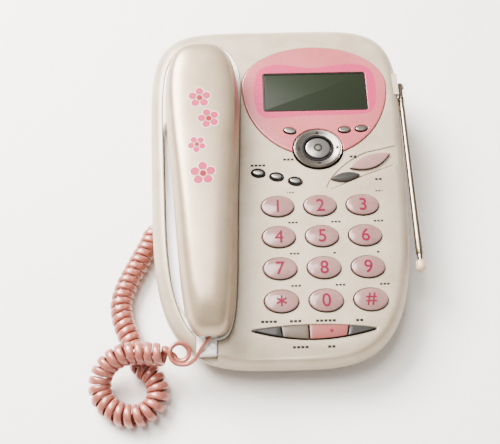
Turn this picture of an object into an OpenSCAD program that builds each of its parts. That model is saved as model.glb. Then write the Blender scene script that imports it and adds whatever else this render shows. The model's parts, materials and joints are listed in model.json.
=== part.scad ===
// Desk telephone base with a corded handset, a dial pad, a display and a folding antenna.
// Origin: middle of the footprint on the floor. +X right, +Y to the rear, +Z up.
// Most parts are drawn in the deck frame: its z = 0 is the sloping top face.

/* [Base] */
// Half of the base's widest width
body_half_w = 80.5; // [76:0.5:86]
// Extra half width at the rear, taken off again at the front
body_flare = 4.5; // [2:0.5:6]
// Half of the base's depth along the deck
body_half_d = 117; // [112:1:122]
// Slope of the deck in degrees
deck_slope = 8; // [6:0.5:10]
// Height of the deck at its middle
deck_z = 42.6; // [40:0.2:48]
// Depth of the upper case, from the deck down to the parting line
shoulder_h = 12; // [10:0.5:14]
// Wall thickness of the casings
wall = 2.2; // [1.8:0.1:3]

/* [Handset] */
// Half of the handset's length
handset_half_l = 96; // [90:1:100]
// Half of the handset's width at its middle
handset_half_w = 20; // [18:0.5:22]
// Height of the handset's top above the deck
handset_top = 27; // [24:0.5:30]
// Height of the handset's seam above the deck
handset_seam = 10; // [8:0.5:12]
// Height of the grip's underside above the deck
grip_z = 3; // [2:0.5:5]

/* [Keys] */
// Distance between the columns of the dial pad
key_pitch_x = 26; // [24:0.5:28]
// Distance between the rows of the dial pad
key_pitch_y = 20.1; // [18.5:0.1:21]
// Width and depth of a dial key
key_size = [20, 13.6]; // [10:0.1:22]
// Gap between a key and its opening
key_gap = 0.35; // [0.3:0.05:0.5]

/* [Antenna] */
// Radius of the outer tube
antenna_r = 2.2; // [2:0.1:2.6]
// Length of the outer tube, from the pivot to its crimped end
antenna_l = 119; // [100:1:125]

/* [Cord] */
// Outer diameter of the curly cord
coil_d = 13.6; // [12:0.2:15]
// Diameter of the uncoiled cord
lead_d = 3.6; // [3:0.1:4.6]

/* [Hidden] */
$fn = 48;
e = 0.01;

deck_y = -1.8;
body_x = -1.35;
rear_power = 5.6;
front_power = 3.7;
deck_inset = [8, 4, 11];      // side, front, rear
bottom_inset = [10, 7, 8];    // side, front, rear
case_bottom = 2;

tray_x = -24.6;               // edge between the cradle and the deck
tray_rear = 103;
tray_corner = [24, 30];       // the rounded corner behind the earpiece
handset_pos = [-47, -5.5];
handset_yaw = 1.8;
handset_taper = [6.6, 3];     // widens the earpiece end, then both ends
handset_powers = [3, 4.2];    // roundness of the earpiece end and of the chin
cradle_gap = 1.2;
cradle_floor = -6;
ear_y = 66;
ear_r = 19;
ear_z = -11;
mouth_y = -76;
mouth_r = 14;
mouth_z = -8;
socket_pos = [-93, 5];        // mouth of the handset's socket: y, and height above the deck

pad_pos = [22.8, -19];        // middle key of the dial pad's first row
panel_pos = [23.8, 68];
panel_half_w = 47.4;
panel_rear = 29.4;
panel_front = 52.6;
window_pos = [24.2, 62.6];
window_size = [67.7, 29.2];
nav_pos = [23.7, 20.4, 0];
nav_size = [31, 27.6];
nav_hole = [18.4, 16.8];
select_size = [15.8, 14.4];
menu_key_size = [7.8, 4.3];
panel_key_list = [[6.7, 33.5, -10], [41.6, 33.5, 4], [52.4, 34.2, 8]];
touch_size = [7.6, 4.6];
touch_list = [[-14.4, 4.2, -8], [-3.1, 1.4, -8], [8.4, -1.9, -8]];
leaf_list = [[56, 11.2, 20.6, 13.6, 3.9, 5.2], [39.9, 0.4, 8, 8.9, 3, 3]];
strip_pos = [15, -96.4, 0];
strip_half_l = 35.3;
strip_bulge = [2.6, 5.4];     // towards the rear, towards the front
strip_cuts = [-35.3, -19, -3.2, 19.4, 35.3];
strip_slant = [0, 8, 0, -12, 0];

mat_z = -8.4;                 // top of the main board
dome_z = -5.2;                // top of the rubber domes
flange_z = -2.8;              // top of a key's flange
pivot_pos = [81.7, 69, -6];
board_z = mat_z - 1.5;
jack_pos = [-69, 8, 10];      // handset jack in the left wall
line_pos = [30, 11];          // x and height of the line jack in the rear wall
dc_pos = [52, 11];
socket_y = 109.3;             // mouths of the rear sockets
channel_x = [-51, -42.5];     // cord channel through the front rim
boss_list = [[62, 88], [-17.5, 92], [-17.5, -69.2], [35.8, -69.2]];
foot_list = [[56, 76], [50, -84], [-58, 84], [-50, -82]];
speaker_pos = [18, 62];
microphone_pos = [44, -89.6];
digit_names = ["key_1", "key_2", "key_3", "key_4", "key_5", "key_6",
               "key_7", "key_8", "key_9", "key_star", "key_0", "key_hash"];
panel_key_names = ["menu_key", "memory_key", "clear_key"];
touch_names = ["one_touch_1", "one_touch_2", "one_touch_3"];
leaf_names = ["play_key", "stop_key"];
strip_names = ["redial_key", "catch_key", "speakerphone_key", "hold_key"];

// Middle line of the curly cord, from the jack's side to the handset's side
coil_route = [
    [-81.5, -14, 7.2], [-84.2, -24, 7], [-89, -35, 7], [-94, -46, 7], [-98, -56, 7],
    [-100.5, -68, 7], [-98.5, -80, 7], [-94, -91, 7], [-90, -100.5, 7], [-85.5, -109, 7],
    [-79.5, -115, 7], [-76, -122, 7], [-76.5, -129.5, 7], [-81, -135.5, 7],
    [-88, -138, 7], [-95.5, -137, 7], [-102, -133.5, 7.2], [-107, -128, 8],
    [-109, -121, 10], [-107, -114, 14.5], [-101.5, -109, 18.5], [-94, -106.5, 21.3],
    [-86, -106, 22], [-78, -107, 22], [-70.5, -107.6, 22]];
// Uncoiled cord between the jack and the coil
base_lead_route = [[-73, 8, 10], [-76.5, 8, 9.9], [-79.6, 6.4, 9.5], [-81, 2.6, 8.8],
                   [-80.9, -2.4, 8], [-80.9, -8, 7.4], [-81.5, -14, 7.2]];
// Uncoiled cord between the coil and the handset
handset_lead_route = [[-69.3, -107.8, 21.6], [-67.4, -108.4, 20.8], [-62.8, -110.8, 19.4], [-58, -112.6, 22],
                      [-53.5, -112.2, 27.8], [-49.5, -109.6, 31.5], [-45.8, -105.6, 33.4], [-44, -102, 33.6]];

// ---------- outlines and helpers ----------

// One coordinate of a superellipse: x when f is the cosine, y when it is the sine
function super(f, n) = sign(f) * pow(abs(f), 2 / n);

// The base seen along the deck's normal, moved in by [side, front, rear]
function base_outline(inset) = [for (i = [0:71])
    let (t = i * 5, n = sin(t) >= 0 ? rear_power : front_power)
    let (c = super(cos(t), n), s = super(sin(t), n))
    [body_x + (body_half_w - inset[0] + body_flare * s) * c,
     s * (body_half_d - (s >= 0 ? inset[2] : inset[1]))]];

// The handset seen from above, moved in by inset
function handset_outline(inset) = [for (i = [0:47])
    let (t = i * 7.5, n = handset_powers[sin(t) >= 0 ? 0 : 1])
    let (c = super(cos(t), n), s = super(sin(t), n))
    [(handset_half_w - inset + handset_taper[0] * s + handset_taper[1] * s * s) * c,
     (handset_half_l - inset) * s]];

// The display panel: two half ellipses that share their widest line
function panel_outline(inset) = [for (i = [0:71])
    let (t = i * 5)
    [panel_pos[0] + (panel_half_w - inset) * cos(t),
     panel_pos[1] + sin(t) * ((sin(t) >= 0 ? panel_rear : panel_front) - inset)]];

// A lens between two tips on the x axis
function lens(half_l, up, down) = concat(
    [for (i = [-10:10]) [half_l * i / 10, up * (1 - i * i / 100)]],
    [for (i = [9:-1:-9]) [half_l * i / 10, -down * (1 - i * i / 100)]]);

// Height above the floor of a place on the deck
function deck_height(y) = deck_z + (y - deck_y) * tan(deck_slope);

module on_deck() {
    translate([0, deck_y, deck_z]) rotate([deck_slope, 0, 0]) children();
}

module on_handset() {
    on_deck() translate([handset_pos[0], handset_pos[1], 0]) rotate([0, 0, handset_yaw]) children();
}

module slab(points, z0, z1) {
    translate([0, 0, z0]) linear_extrude(z1 - z0) polygon(points);
}

module oval(size, z0, z1) {
    slab([for (i = [0:35]) [size[0] / 2 * cos(i * 10), size[1] / 2 * sin(i * 10)]], z0, z1);
}

module place(spot) {
    translate([spot[0], spot[1], 0]) rotate([0, 0, spot[2]]) children();
}

function key_spot(i) = [pad_pos[0] + (i % 3 - 1) * key_pitch_x, pad_pos[1] - floor(i / 3) * key_pitch_y, 0];

// Tube of radius r along a list of points, with flat ends
module swept_tube(route, r, sides) {
    n = len(route);
    dirs = [for (i = [0:n - 1])
        let (d = route[min(i + 1, n - 1)] - route[max(i - 1, 0)]) d / norm(d)];
    rings = [for (i = [0:n - 1])
        let (side = cross(dirs[i], [0, 0, 1]), u = side / norm(side), v = cross(u, dirs[i]))
        for (k = [0:sides - 1]) route[i] + r * (cos(k * 360 / sides) * u + sin(k * 360 / sides) * v)];
    walls = [for (i = [0:n - 2], k = [0:sides - 1])
        let (a = i * sides + k, b = i * sides + (k + 1) % sides)
        [a, b, b + sides, a + sides]];
    caps = [[for (k = [sides - 1:-1:0]) k], [for (k = [0:sides - 1]) (n - 1) * sides + k]];
    polyhedron(rings, concat(walls, caps), convexity = 6);
}

// Smooth curve through a list of points, with steps points for each stretch
function curve(p, steps) = let (n = len(p)) concat(
    [for (i = [0:n - 2], k = [0:steps - 1])
        let (a = p[max(i - 1, 0)], b = p[i], c = p[i + 1], d = p[min(i + 2, n - 1)], t = k / steps)
        0.5 * (2 * b + (c - a) * t + (2 * a - 5 * b + 4 * c - d) * t * t
            + (3 * b - a - 3 * c + d) * t * t * t)],
    [p[n - 1]]);

// ---------- base casings ----------

module shoulder(inset) {
    hull() {
        slab(base_outline(deck_inset + [inset, inset, inset]), -inset - e, -inset);
        slab(base_outline([inset, inset, inset]), -shoulder_h, -shoulder_h + e);
    }
}

module key_openings() {
    for (i = [0:11]) place(key_spot(i)) oval(key_size + 2 * [key_gap, key_gap], -9, 9);
    for (s = panel_key_list) place(s) oval(menu_key_size + 2 * [key_gap, key_gap], -9, 9);
    for (s = touch_list) place(s) oval(touch_size + 2 * [key_gap, key_gap], -9, 9);
    for (s = leaf_list) place(s) slab(lens(s[3] + 1, s[4] + key_gap, s[5] + key_gap), -9, 9);
    place(strip_pos) slab(lens(strip_half_l + 1, strip_bulge[0] + key_gap, strip_bulge[1] + key_gap), -9, 9);
    place(nav_pos) oval(nav_size + [1, 1], -9, 9);
}

// The cradle's area: the left of the deck, with a round corner behind the earpiece. Its right edge
// stays under the handset, and meets the cord channel at the front
module cradle_opening(grow) {
    channel_edge = channel_x[1] + 1.8 + grow;
    intersection() {
        slab(base_outline(deck_inset + [1 - grow, 1 - grow, 1 - grow]), -30, 5);
        union() {
            translate([handset_pos[0], handset_pos[1], 0]) rotate([0, 0, handset_yaw])
                slab(handset_outline(-0.8 - grow), -31, 9);
            slab(concat([[-120, -130], [channel_edge, -130], [channel_edge, 30], [tray_x + grow, 30]],
                [for (t = [0:10:90]) [tray_x + grow + tray_corner[0] * (cos(t) - 1),
                                      tray_rear + grow + tray_corner[1] * (sin(t) - 1)]],
                [[-120, tray_rear + grow]]), -31, 9);
        }
    }
}

module upper_case() color("#e6ddcf") {
    on_deck() {
        difference() {
            shoulder(0);
            shoulder(wall);
            translate([-100, -130, -shoulder_h - 1]) cube([200, 260, 1 + e]);
            cradle_opening(0.2);
            slab(panel_outline(-0.2), -1.5, 1);
            translate([window_pos[0] - 36, window_pos[1] - 17, -5]) cube([72, 34, 9]);
            key_openings();
            translate([pivot_pos[0] - 6.2, pivot_pos[1] - 9, -shoulder_h - 1]) cube([12, 18, 14]);
            translate([channel_x[0] - 2, -125, -8]) cube([channel_x[1] - channel_x[0] + 4, 30, 12]);
        }
        // Posts that carry the direction ring's gimbal
        for (side = [-1, 1]) translate([nav_pos[0] + side * 18.4, nav_pos[1], 0]) difference() {
            translate([-1.2, -2.5, -8.2]) cube([2.4, 5, 6.2]);
            translate([0, 0, -6.2]) rotate([0, 90, 0]) cylinder(r = 0.85, h = 6, center = true);
        }
    }
    // Screw bosses
    for (b = boss_list) translate([b[0], b[1], 6]) difference() {
        cylinder(r = 3.4, h = deck_height(b[1]) - 8.1);
        translate([0, 0, -1]) cylinder(r = 1.4, h = 14);
    }
}

// Leaning walls under the parting line; over raises the upper edge
module tuck(inset, over) {
    hull() {
        on_deck() slab(base_outline([inset, inset, inset]), -shoulder_h - 0.5, -shoulder_h + over);
        slab(base_outline(bottom_inset + [inset, inset, inset]), case_bottom + inset, case_bottom + inset + 0.1);
    }
}

module lower_case() color("#d9cfbf") {
    difference() {
        tuck(0, 0);
        tuck(wall, 1);
        translate([jack_pos[0] - 12, jack_pos[1] - 6.2, jack_pos[2] - 5.7]) cube([22, 12.4, 11.4]);
        translate([line_pos[0] - 8.2, 95, line_pos[1] - 6.7]) cube([16.4, 30, 13.4]);
        translate([dc_pos[0] - 5.7, 95, dc_pos[1] - 5.7]) cube([11.4, 30, 11.4]);
        for (b = boss_list) translate([b[0], b[1], 0]) {
            cylinder(r = 1.7, h = 9);
            cylinder(r = 3.2, h = case_bottom + 1.2);
        }
        for (f = foot_list) translate([f[0], f[1], 0]) cylinder(r = 6.2, h = case_bottom + 0.5);
        for (i = [-5:5]) translate([speaker_pos[0] + i * 4 - 0.8, speaker_pos[1] - 17, 0]) cube([1.6, 34, 9]);
    }
}

// ---------- cradle ----------

module cradle_pocket(grow) {
    slab(handset_outline(3 - cradle_gap - grow), cradle_floor - grow, 6);
    translate([0, ear_y, ear_z - cradle_gap - grow]) cylinder(r = ear_r + cradle_gap + grow, h = 20);
    translate([0, mouth_y, mouth_z - cradle_gap - grow]) cylinder(r = mouth_r + cradle_gap + grow, h = 17);
}

module finger_scoop(grow) {
    slab([[-24, 42], [-31, 26], [-33 - grow, 0], [-31, -40], [-24, -66], [-14, -80], [0, -80], [0, 42]],
        cradle_floor - grow, 6);
}

module cradle_tray() color("#faf8f4") {
    difference() {
        union() {
            on_deck() intersection() {
                cradle_opening(0);
                slab(base_outline([0, 0, 0]), -1.8, 0.4);
            }
            intersection() {
                on_handset() union() {
                    cradle_pocket(1.8);
                    finger_scoop(1.8);
                }
                on_deck() difference() {
                    cradle_opening(0);
                    translate([-100, -130, 0.4]) cube([200, 260, 20]);
                }
            }
            on_deck() intersection() {
                slab(base_outline([0.5, 0.5, 0.5]), -9, 1);
                translate([channel_x[0] - 1.8, -120, -7.8]) cube([channel_x[1] - channel_x[0] + 3.6, 27, 8]);
            }
        }
        on_handset() {
            cradle_pocket(0);
            finger_scoop(0);
        }
        on_deck() translate([channel_x[0], -125, cradle_floor]) cube([channel_x[1] - channel_x[0], 40, 12]);
        on_handset() translate([0, mouth_y, 0]) oval([9, 6], -30, 0);
    }
}

module hook_switch() color("#f2efe8") {
    on_handset() translate([0, mouth_y, 0]) {
        oval([8.2, 5.2], -19, mouth_z - 0.35);
        oval([13, 9], -16.8, -15.6);
    }
}

// ---------- display ----------

module display_panel() color("#e9a9bb") {
    on_deck() difference() {
        slab(panel_outline(0), -1.5, 0.8);
        translate([window_pos[0] - window_size[0] / 2, window_pos[1] - window_size[1] / 2, -5])
            cube([window_size[0], window_size[1], 9]);
        key_openings();
    }
}

module display_window() color("#4f5b4a") {
    on_deck() translate([window_pos[0] - window_size[0] / 2 + 0.1, window_pos[1] - window_size[1] / 2 + 0.1, -0.9])
        cube([window_size[0] - 0.2, window_size[1] - 0.2, 1.3]);
}

module lcd_module() color("#3c4238") {
    on_deck() translate([window_pos[0] - 35, window_pos[1] - 16, -7.4]) difference() {
        cube([70, 32, 5.2]);
        translate([2.5, 2.5, 4.2]) cube([65, 27, 2]);
    }
}

// ---------- electronics ----------

// What fits between the shoulders at the depth of the board
module board_space() {
    slab(base_outline([8, 7, 10]), board_z - 1, dome_z + 1);
}

module main_board() color("#3f7a4c") {
    on_deck() difference() {
        intersection() {
            translate([-20, -102, board_z]) cube([84, 194, 1.5]);
            board_space();
        }
        boss_holes();
    }
}

module boss_holes() {
    for (b = boss_list) translate([b[0], b[1] + 1, -20]) cylinder(r = 5.6, h = 30);
}

// One sheet with a dome under each key
module key_mat() color("#d8d4cc") {
    on_deck() difference() {
        union() {
            intersection() {
                translate([-18, -102, mat_z]) cube([80, 92, 1]);
                board_space();
            }
            translate([-19, -11, mat_z]) cube([34, 19, 1]);
            translate([32, -11, mat_z]) cube([30, 26, 1]);
            for (i = [0:11]) place(key_spot(i)) oval([9, 8], mat_z, dome_z);
            for (s = touch_list) place(s) oval([5, 4], mat_z, dome_z);
            for (s = leaf_list) place(s) oval([7, 4.5], mat_z, dome_z);
            for (i = [0:3]) place(strip_pos) translate([(strip_cuts[i] + strip_cuts[i + 1]) / 2, -1.4, 0])
                oval([6, 4], mat_z, dome_z);
        }
        translate([microphone_pos[0], microphone_pos[1], -12]) cylinder(r = 2.8, h = 9);
        boss_holes();
    }
}

// ---------- keys ----------

// Cap with a flange under the deck and a plunger above its rubber dome
module oval_key(size, top) {
    oval(size, -0.6, top);
    oval(size + [-0.6, -0.6], flange_z - e, -0.5);
    oval(size + [1.4, 1.4], flange_z - 0.8, flange_z);
    oval([min(6, size[0] - 2), min(5, size[1] - 1)], -4, flange_z);
}

module digit_key(i) color("#f1dfe0") {
    on_deck() place(key_spot(i)) oval_key(key_size, 1.5);
}

module panel_key(i) color("#d5d2cc") {
    on_deck() place(panel_key_list[i]) oval_key(menu_key_size, 1.8);
}

module touch_key(i) color("#e8e6e2") {
    on_deck() place(touch_list[i]) oval_key(touch_size, 1.4);
}

module leaf_key(i) color(i == 0 ? "#e8a9b6" : "#77706b") {
    s = leaf_list[i];
    on_deck() place(s) {
        slab(lens(s[3], s[4], s[5]), flange_z, 1.3);
        oval([s[3] * 1.3, s[4] * 2], flange_z - 0.8, flange_z);
    }
}

module strip_key(i) color(i == 2 ? "#e8907f" : (i == 1 ? "#c9bfb2" : "#8d8680")) {
    low = strip_cuts[i] + (i > 0 ? 0.35 : 0);
    high = strip_cuts[i + 1] - (i < 3 ? 0.35 : 0);
    middle = (low + high) / 2;
    taper = 1 - middle * middle / (strip_half_l * strip_half_l);
    front = strip_bulge[1] * taper + 1.4;
    slant = [for (k = [i, i + 1]) 6 * tan(strip_slant[k])];
    on_deck() place(strip_pos) {
        intersection() {
            slab(lens(strip_half_l, strip_bulge[0], strip_bulge[1]), flange_z, 1.3);
            slab([[low - slant[0], 6], [low + slant[0], -6], [high + slant[1], -6], [high - slant[1], 6]], -5, 5);
        }
        translate([middle - 4, -front, flange_z - 0.8]) cube([8, front + strip_bulge[0] * taper + 1.4, 0.81]);
    }
}

module nav_ring() color("#cfccc6") {
    on_deck() place(nav_pos) {
        difference() {
            union() {
                oval(nav_size, -1, 2);
                oval(nav_size + [-0.8, -0.8], -3, -0.9);
                // Flange at the front and the rear only
                intersection() {
                    oval([33, 30.6], -4.2, -3.2);
                    translate([-10, -20, -5]) cube([20, 40, 3]);
                }
                oval([27, 24.8], -4.2, -2.9);
            }
            oval(nav_hole, -9, 9);
        }
        // Ears that hang on the gimbal's other two pins
        for (side = [-1, 1]) translate([0, side * 11.4, 0]) difference() {
            translate([-2.2, -1, -7.5]) cube([4.4, 2, 3.4]);
            translate([0, 0, -6.2]) rotate([90, 0, 0]) cylinder(r = 0.85, h = 4, center = true);
        }
    }
}

module nav_gimbal() color("#b9b6b0") {
    on_deck() place(nav_pos) translate([0, 0, -6.2]) {
        difference() {
            translate([0, 0, -0.9]) cylinder(r = 9.9, h = 1.8);
            translate([0, 0, -2]) cylinder(r = 8.4, h = 4);
        }
        for (side = [-1, 1]) {
            translate([side * 9.4, 0, 0]) rotate([0, side * 90, 0]) cylinder(r = 0.8, h = 10.4);
            translate([0, side * 9.4, 0]) rotate([-side * 90, 0, 0]) cylinder(r = 0.8, h = 3.2);
        }
    }
}

module select_key() color("#f0e9e4") {
    on_deck() place(nav_pos) {
        oval(select_size, -1, 2);
        oval([12, 11], -4.6, -0.9);
    }
}

// ---------- antenna ----------

module antenna_bracket() color("#c8c4bc") {
    on_deck() translate(pivot_pos) {
        translate([-6, -8, -5.6]) cube([3.8, 16, 10]);
        rotate([0, 90, 0]) {
            translate([0, 0, -3]) cylinder(r = 1, h = 5);
            translate([0, 0, 1.7]) cylinder(r = 1.9, h = 0.7);
        }
    }
}

module along_antenna() {
    on_deck() translate(pivot_pos) rotate([90, 0, 0]) children();
}

module antenna_tube() color("#b9b4aa") {
    along_antenna() difference() {
        union() {
            // Tang round the pivot pin
            difference() {
                union() {
                    rotate([0, 90, 0]) cylinder(r = 2.7, h = 2.4, center = true);
                    translate([-1.2, -1.6, 0]) cube([2.4, 3.2, 9]);
                }
                rotate([0, 90, 0]) cylinder(r = 1.05, h = 6, center = true);
            }
            translate([0, 0, 8]) cylinder(r = 2, h = 3.5);
            translate([0, 0, 11]) cylinder(r = antenna_r, h = antenna_l - 11);
            translate([0, 0, antenna_l - 4]) cylinder(r = antenna_r + 0.25, h = 1.2);
        }
        translate([0, 0, 15]) cylinder(r = antenna_r - 0.35, h = antenna_l);
    }
}

module antenna_middle() color("#c6c1b7") {
    along_antenna() difference() {
        translate([0, 0, 17]) cylinder(r = antenna_r - 0.4, h = antenna_l - 15);
        translate([0, 0, 19]) cylinder(r = antenna_r - 0.75, h = antenna_l);
    }
}

module antenna_rod() color("#d0cbc1") {
    along_antenna() translate([0, 0, 21]) cylinder(r = antenna_r - 0.8, h = antenna_l - 17);
}

module antenna_cap() color("#efe3d2") {
    along_antenna() translate([0, 0, antenna_l + 4]) {
        cylinder(r = 3.1, h = 4);
        translate([0, 0, 4]) intersection() {
            sphere(r = 3.1);
            cylinder(r = 4, h = 4);
        }
    }
}

// ---------- sound, sockets and fixings of the base ----------

module base_speaker() color("#4a4a4a") {
    translate([speaker_pos[0], speaker_pos[1], case_bottom + wall + 0.2]) {
        cylinder(r = 25, h = 3);
        translate([0, 0, 3]) cylinder(r1 = 24, r2 = 14, h = 8);
        translate([0, 0, 11]) cylinder(r = 13, h = 8);
    }
}

module base_microphone() color("#30302e") {
    on_deck() translate([microphone_pos[0], microphone_pos[1], mat_z]) cylinder(r = 2.4, h = 4.2);
}

module handset_jack() color("#e6e1d8") {
    translate(jack_pos) difference() {
        translate([-2, -6, -5.5]) cube([18, 12, 11]);
        translate([-3, -3.9, -3.3]) cube([13, 7.8, 6.6]);
    }
}

module line_jack() color("#3b3a38") {
    translate([line_pos[0], socket_y, line_pos[1]]) difference() {
        translate([-8, -15, -6.5]) cube([16, 15, 13]);
        translate([-4.9, -11, -3.4]) cube([9.8, 13, 6.8]);
    }
}

module dc_jack() color("#2f2e2c") {
    translate([dc_pos[0], socket_y, dc_pos[1]]) difference() {
        translate([-5.5, -13, -5.5]) cube([11, 13, 11]);
        translate([0, 1, 0]) rotate([90, 0, 0]) cylinder(r = 2.9, h = 10.5);
    }
}

module rubber_feet() color("#8f8a84") {
    for (f = foot_list) translate([f[0], f[1], 0]) {
        cylinder(r = 6, h = case_bottom + 0.5);
    }
}

module case_screws() color("#a7a39c") {
    for (b = boss_list) translate([b[0], b[1], case_bottom + 0.1]) {
        cylinder(r = 2.9, h = 1.1);
        cylinder(r = 1.35, h = 12);
    }
}

// ---------- handset ----------

module crown(inset) {
    hull() {
        slab(handset_outline(inset), handset_seam - e * (inset > 0 ? 20 : 0), handset_seam + 5);
        slab(handset_outline(inset + 3), handset_seam + 5, handset_top - 4 - inset);
        slab(handset_outline(inset + 9), handset_seam + 5, handset_top - inset);
    }
}

module handset_top_shell() color("#e4dcd2") {
    on_handset() difference() {
        crown(0);
        crown(2);
    }
}

module handset_cup_shell() color("#ddd3c7") {
    on_handset() difference() {
        union() {
            hull() {
                slab(handset_outline(0), handset_seam - 0.3, handset_seam - 0.05);
                slab(handset_outline(4), grip_z, grip_z + e);
            }
            translate([0, ear_y, ear_z]) cylinder(r = ear_r, h = 16);
            translate([0, mouth_y, mouth_z]) cylinder(r = mouth_r, h = 13);
        }
        hull() {
            slab(handset_outline(2), handset_seam - 0.3, handset_seam + 2);
            slab(handset_outline(6), grip_z + 2, grip_z + 2 + e);
        }
        translate([0, ear_y, ear_z + 2]) cylinder(r = ear_r - 2, h = 16);
        translate([0, mouth_y, mouth_z + 2]) cylinder(r = mouth_r - 2, h = 13);
        for (i = [0:6]) translate([i < 6 ? 6 * cos(i * 60) : 0, ear_y + (i < 6 ? 6 * sin(i * 60) : 0), ear_z - 1])
            cylinder(r = 1, h = 4);
        for (i = [-1:1]) translate([i * 4, mouth_y, mouth_z - 1]) cylinder(r = 0.9, h = 4);
        translate([-5.2, socket_pos[0] - 6, socket_pos[1] - 4.7]) cube([10.4, 16.5, 14]);
        for (y = [30, -52]) translate([0, y, 0]) {
            cylinder(r = 1.6, h = 8);
            cylinder(r = 3, h = grip_z + 1);
        }
    }
}

module earpiece_speaker() color("#55534f") {
    on_handset() translate([0, ear_y, ear_z + 2.2]) {
        cylinder(r = 16, h = 3);
        cylinder(r = 9, h = 7);
    }
}

module handset_microphone() color("#3a3835") {
    on_handset() translate([0, mouth_y, mouth_z + 2.2]) cylinder(r = 4.8, h = 6);
}

module handset_weight() color("#6d6a66") {
    on_handset() translate([-9, -34, grip_z + 2.3]) cube([18, 50, 9]);
}

module handset_socket() color("#cfc9bf") {
    on_handset() translate([0, socket_pos[0], socket_pos[1]]) difference() {
        translate([-5, 0, -4.5]) cube([10, 10.3, 9]);
        translate([-3.9, -1, -3.3]) cube([7.8, 10, 6.6]);
    }
}

module handset_screws() color("#a7a39c") {
    on_handset() for (y = [30, -52]) translate([0, y, grip_z + 0.2]) {
        cylinder(r = 2.7, h = 0.8);
        cylinder(r = 1.35, h = 1.9);
    }
}

// ---------- cord ----------

module plug_handset() color("#ddd7d0") {
    on_handset() translate([-3.8, socket_pos[0] - 2, socket_pos[1] - 3.2]) cube([7.6, 10.8, 6.4]);
}

module plug_base() color("#ddd7d0") {
    translate(jack_pos) translate([-4, -3.8, -3.2]) cube([13.8, 7.6, 6.4]);
}

module lead_handset() color("#d99f97") {
    swept_tube(curve(handset_lead_route, 2), lead_d / 2, 8);
}

module lead_base() color("#d99f97") {
    swept_tube(curve(base_lead_route, 1), lead_d / 2, 8);
}

module cord_coil() color("#d99f97") {
    swept_tube(curve(coil_route, 2), coil_d / 2, 12);
}

lower_case();
upper_case();
cradle_tray();
display_panel();
display_window();
lcd_module();
main_board();
key_mat();
nav_ring();
nav_gimbal();
select_key();
hook_switch();
for (i = [0:11]) digit_key(i);
for (i = [0:2]) panel_key(i);
for (i = [0:2]) touch_key(i);
for (i = [0:1]) leaf_key(i);
for (i = [0:3]) strip_key(i);
antenna_bracket();
antenna_tube();
antenna_middle();
antenna_rod();
antenna_cap();
base_speaker();
base_microphone();
handset_jack();
line_jack();
dc_jack();
rubber_feet();
case_screws();
handset_top_shell();
handset_cup_shell();
earpiece_speaker();
handset_microphone();
handset_weight();
handset_socket();
handset_screws();
plug_handset();
plug_base();
lead_handset();
lead_base();
cord_coil();
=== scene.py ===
"""Looks of a desk telephone base with a corded handset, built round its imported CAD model.

Shapes are drawn in millimetres in frames that tilt with the base: DECK, whose z = 0 is the sloping
top face, HANDSET, which lies on it, and ANTENNA, whose z runs along the folded antenna.
"""
import json
import math

import bmesh
import bpy
from mathutils import Matrix, Vector
from mathutils.bvhtree import BVHTree


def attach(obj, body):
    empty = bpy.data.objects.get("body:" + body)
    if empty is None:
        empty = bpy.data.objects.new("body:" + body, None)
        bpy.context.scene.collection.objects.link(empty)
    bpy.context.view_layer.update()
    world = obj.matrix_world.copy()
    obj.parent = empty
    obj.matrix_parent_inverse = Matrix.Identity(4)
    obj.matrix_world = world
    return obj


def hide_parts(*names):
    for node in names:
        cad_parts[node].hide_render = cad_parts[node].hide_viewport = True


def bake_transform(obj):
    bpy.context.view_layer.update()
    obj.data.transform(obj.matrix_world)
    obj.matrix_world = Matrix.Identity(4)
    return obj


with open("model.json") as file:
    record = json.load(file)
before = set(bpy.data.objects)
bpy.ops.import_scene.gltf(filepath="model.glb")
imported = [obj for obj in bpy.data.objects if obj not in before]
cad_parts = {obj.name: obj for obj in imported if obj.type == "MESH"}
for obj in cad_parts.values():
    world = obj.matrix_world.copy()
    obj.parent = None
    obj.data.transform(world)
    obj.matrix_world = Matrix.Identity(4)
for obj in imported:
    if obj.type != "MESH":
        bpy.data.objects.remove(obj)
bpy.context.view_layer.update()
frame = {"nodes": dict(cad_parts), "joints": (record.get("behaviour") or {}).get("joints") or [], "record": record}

MM = 0.001
WORLD = Matrix.Identity(4)

# ---------- driving dimensions, in millimetres ----------
BODY_X = -1.35
BODY_HALF_W, BODY_FLARE, BODY_HALF_D = 80.5, 4.5, 117
BODY_POWERS = (5.6, 3.7)            # roundness of the rear half and of the front half
DECK_INSET = (8, 4, 11)             # side, front, rear
BOTTOM_INSET = (10, 7, 8)
SHOULDER = 12
WALL = 2.2
TRAY_EDGE, TRAY_REAR, TRAY_CORNER = -24.6, 103, (24, 30)
CHANNEL = (-51, -42.5)
POCKET_FLOOR = -6

HANDSET_HALF_L, HANDSET_HALF_W = 96, 20
HANDSET_TAPER = (6.6, 3)
HANDSET_POWERS = (3, 4.2)
HANDSET_TOP, HANDSET_SEAM, GRIP = 27, 10, 3
EAR_Y, EAR_R, EAR_Z = 66, 19, -11
MOUTH_Y, MOUTH_R, MOUTH_Z = -76, 14, -8
SOCKET_Y, SOCKET_Z = -93, 5

COIL_R = 5.55                       # from the coil's middle to the middle of the ribbon
RIBBON = (4.5, 2.5)                 # width along the coil, thickness
COIL_PITCH = 5.1
LEAD = (3.2, 2.4)

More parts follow.
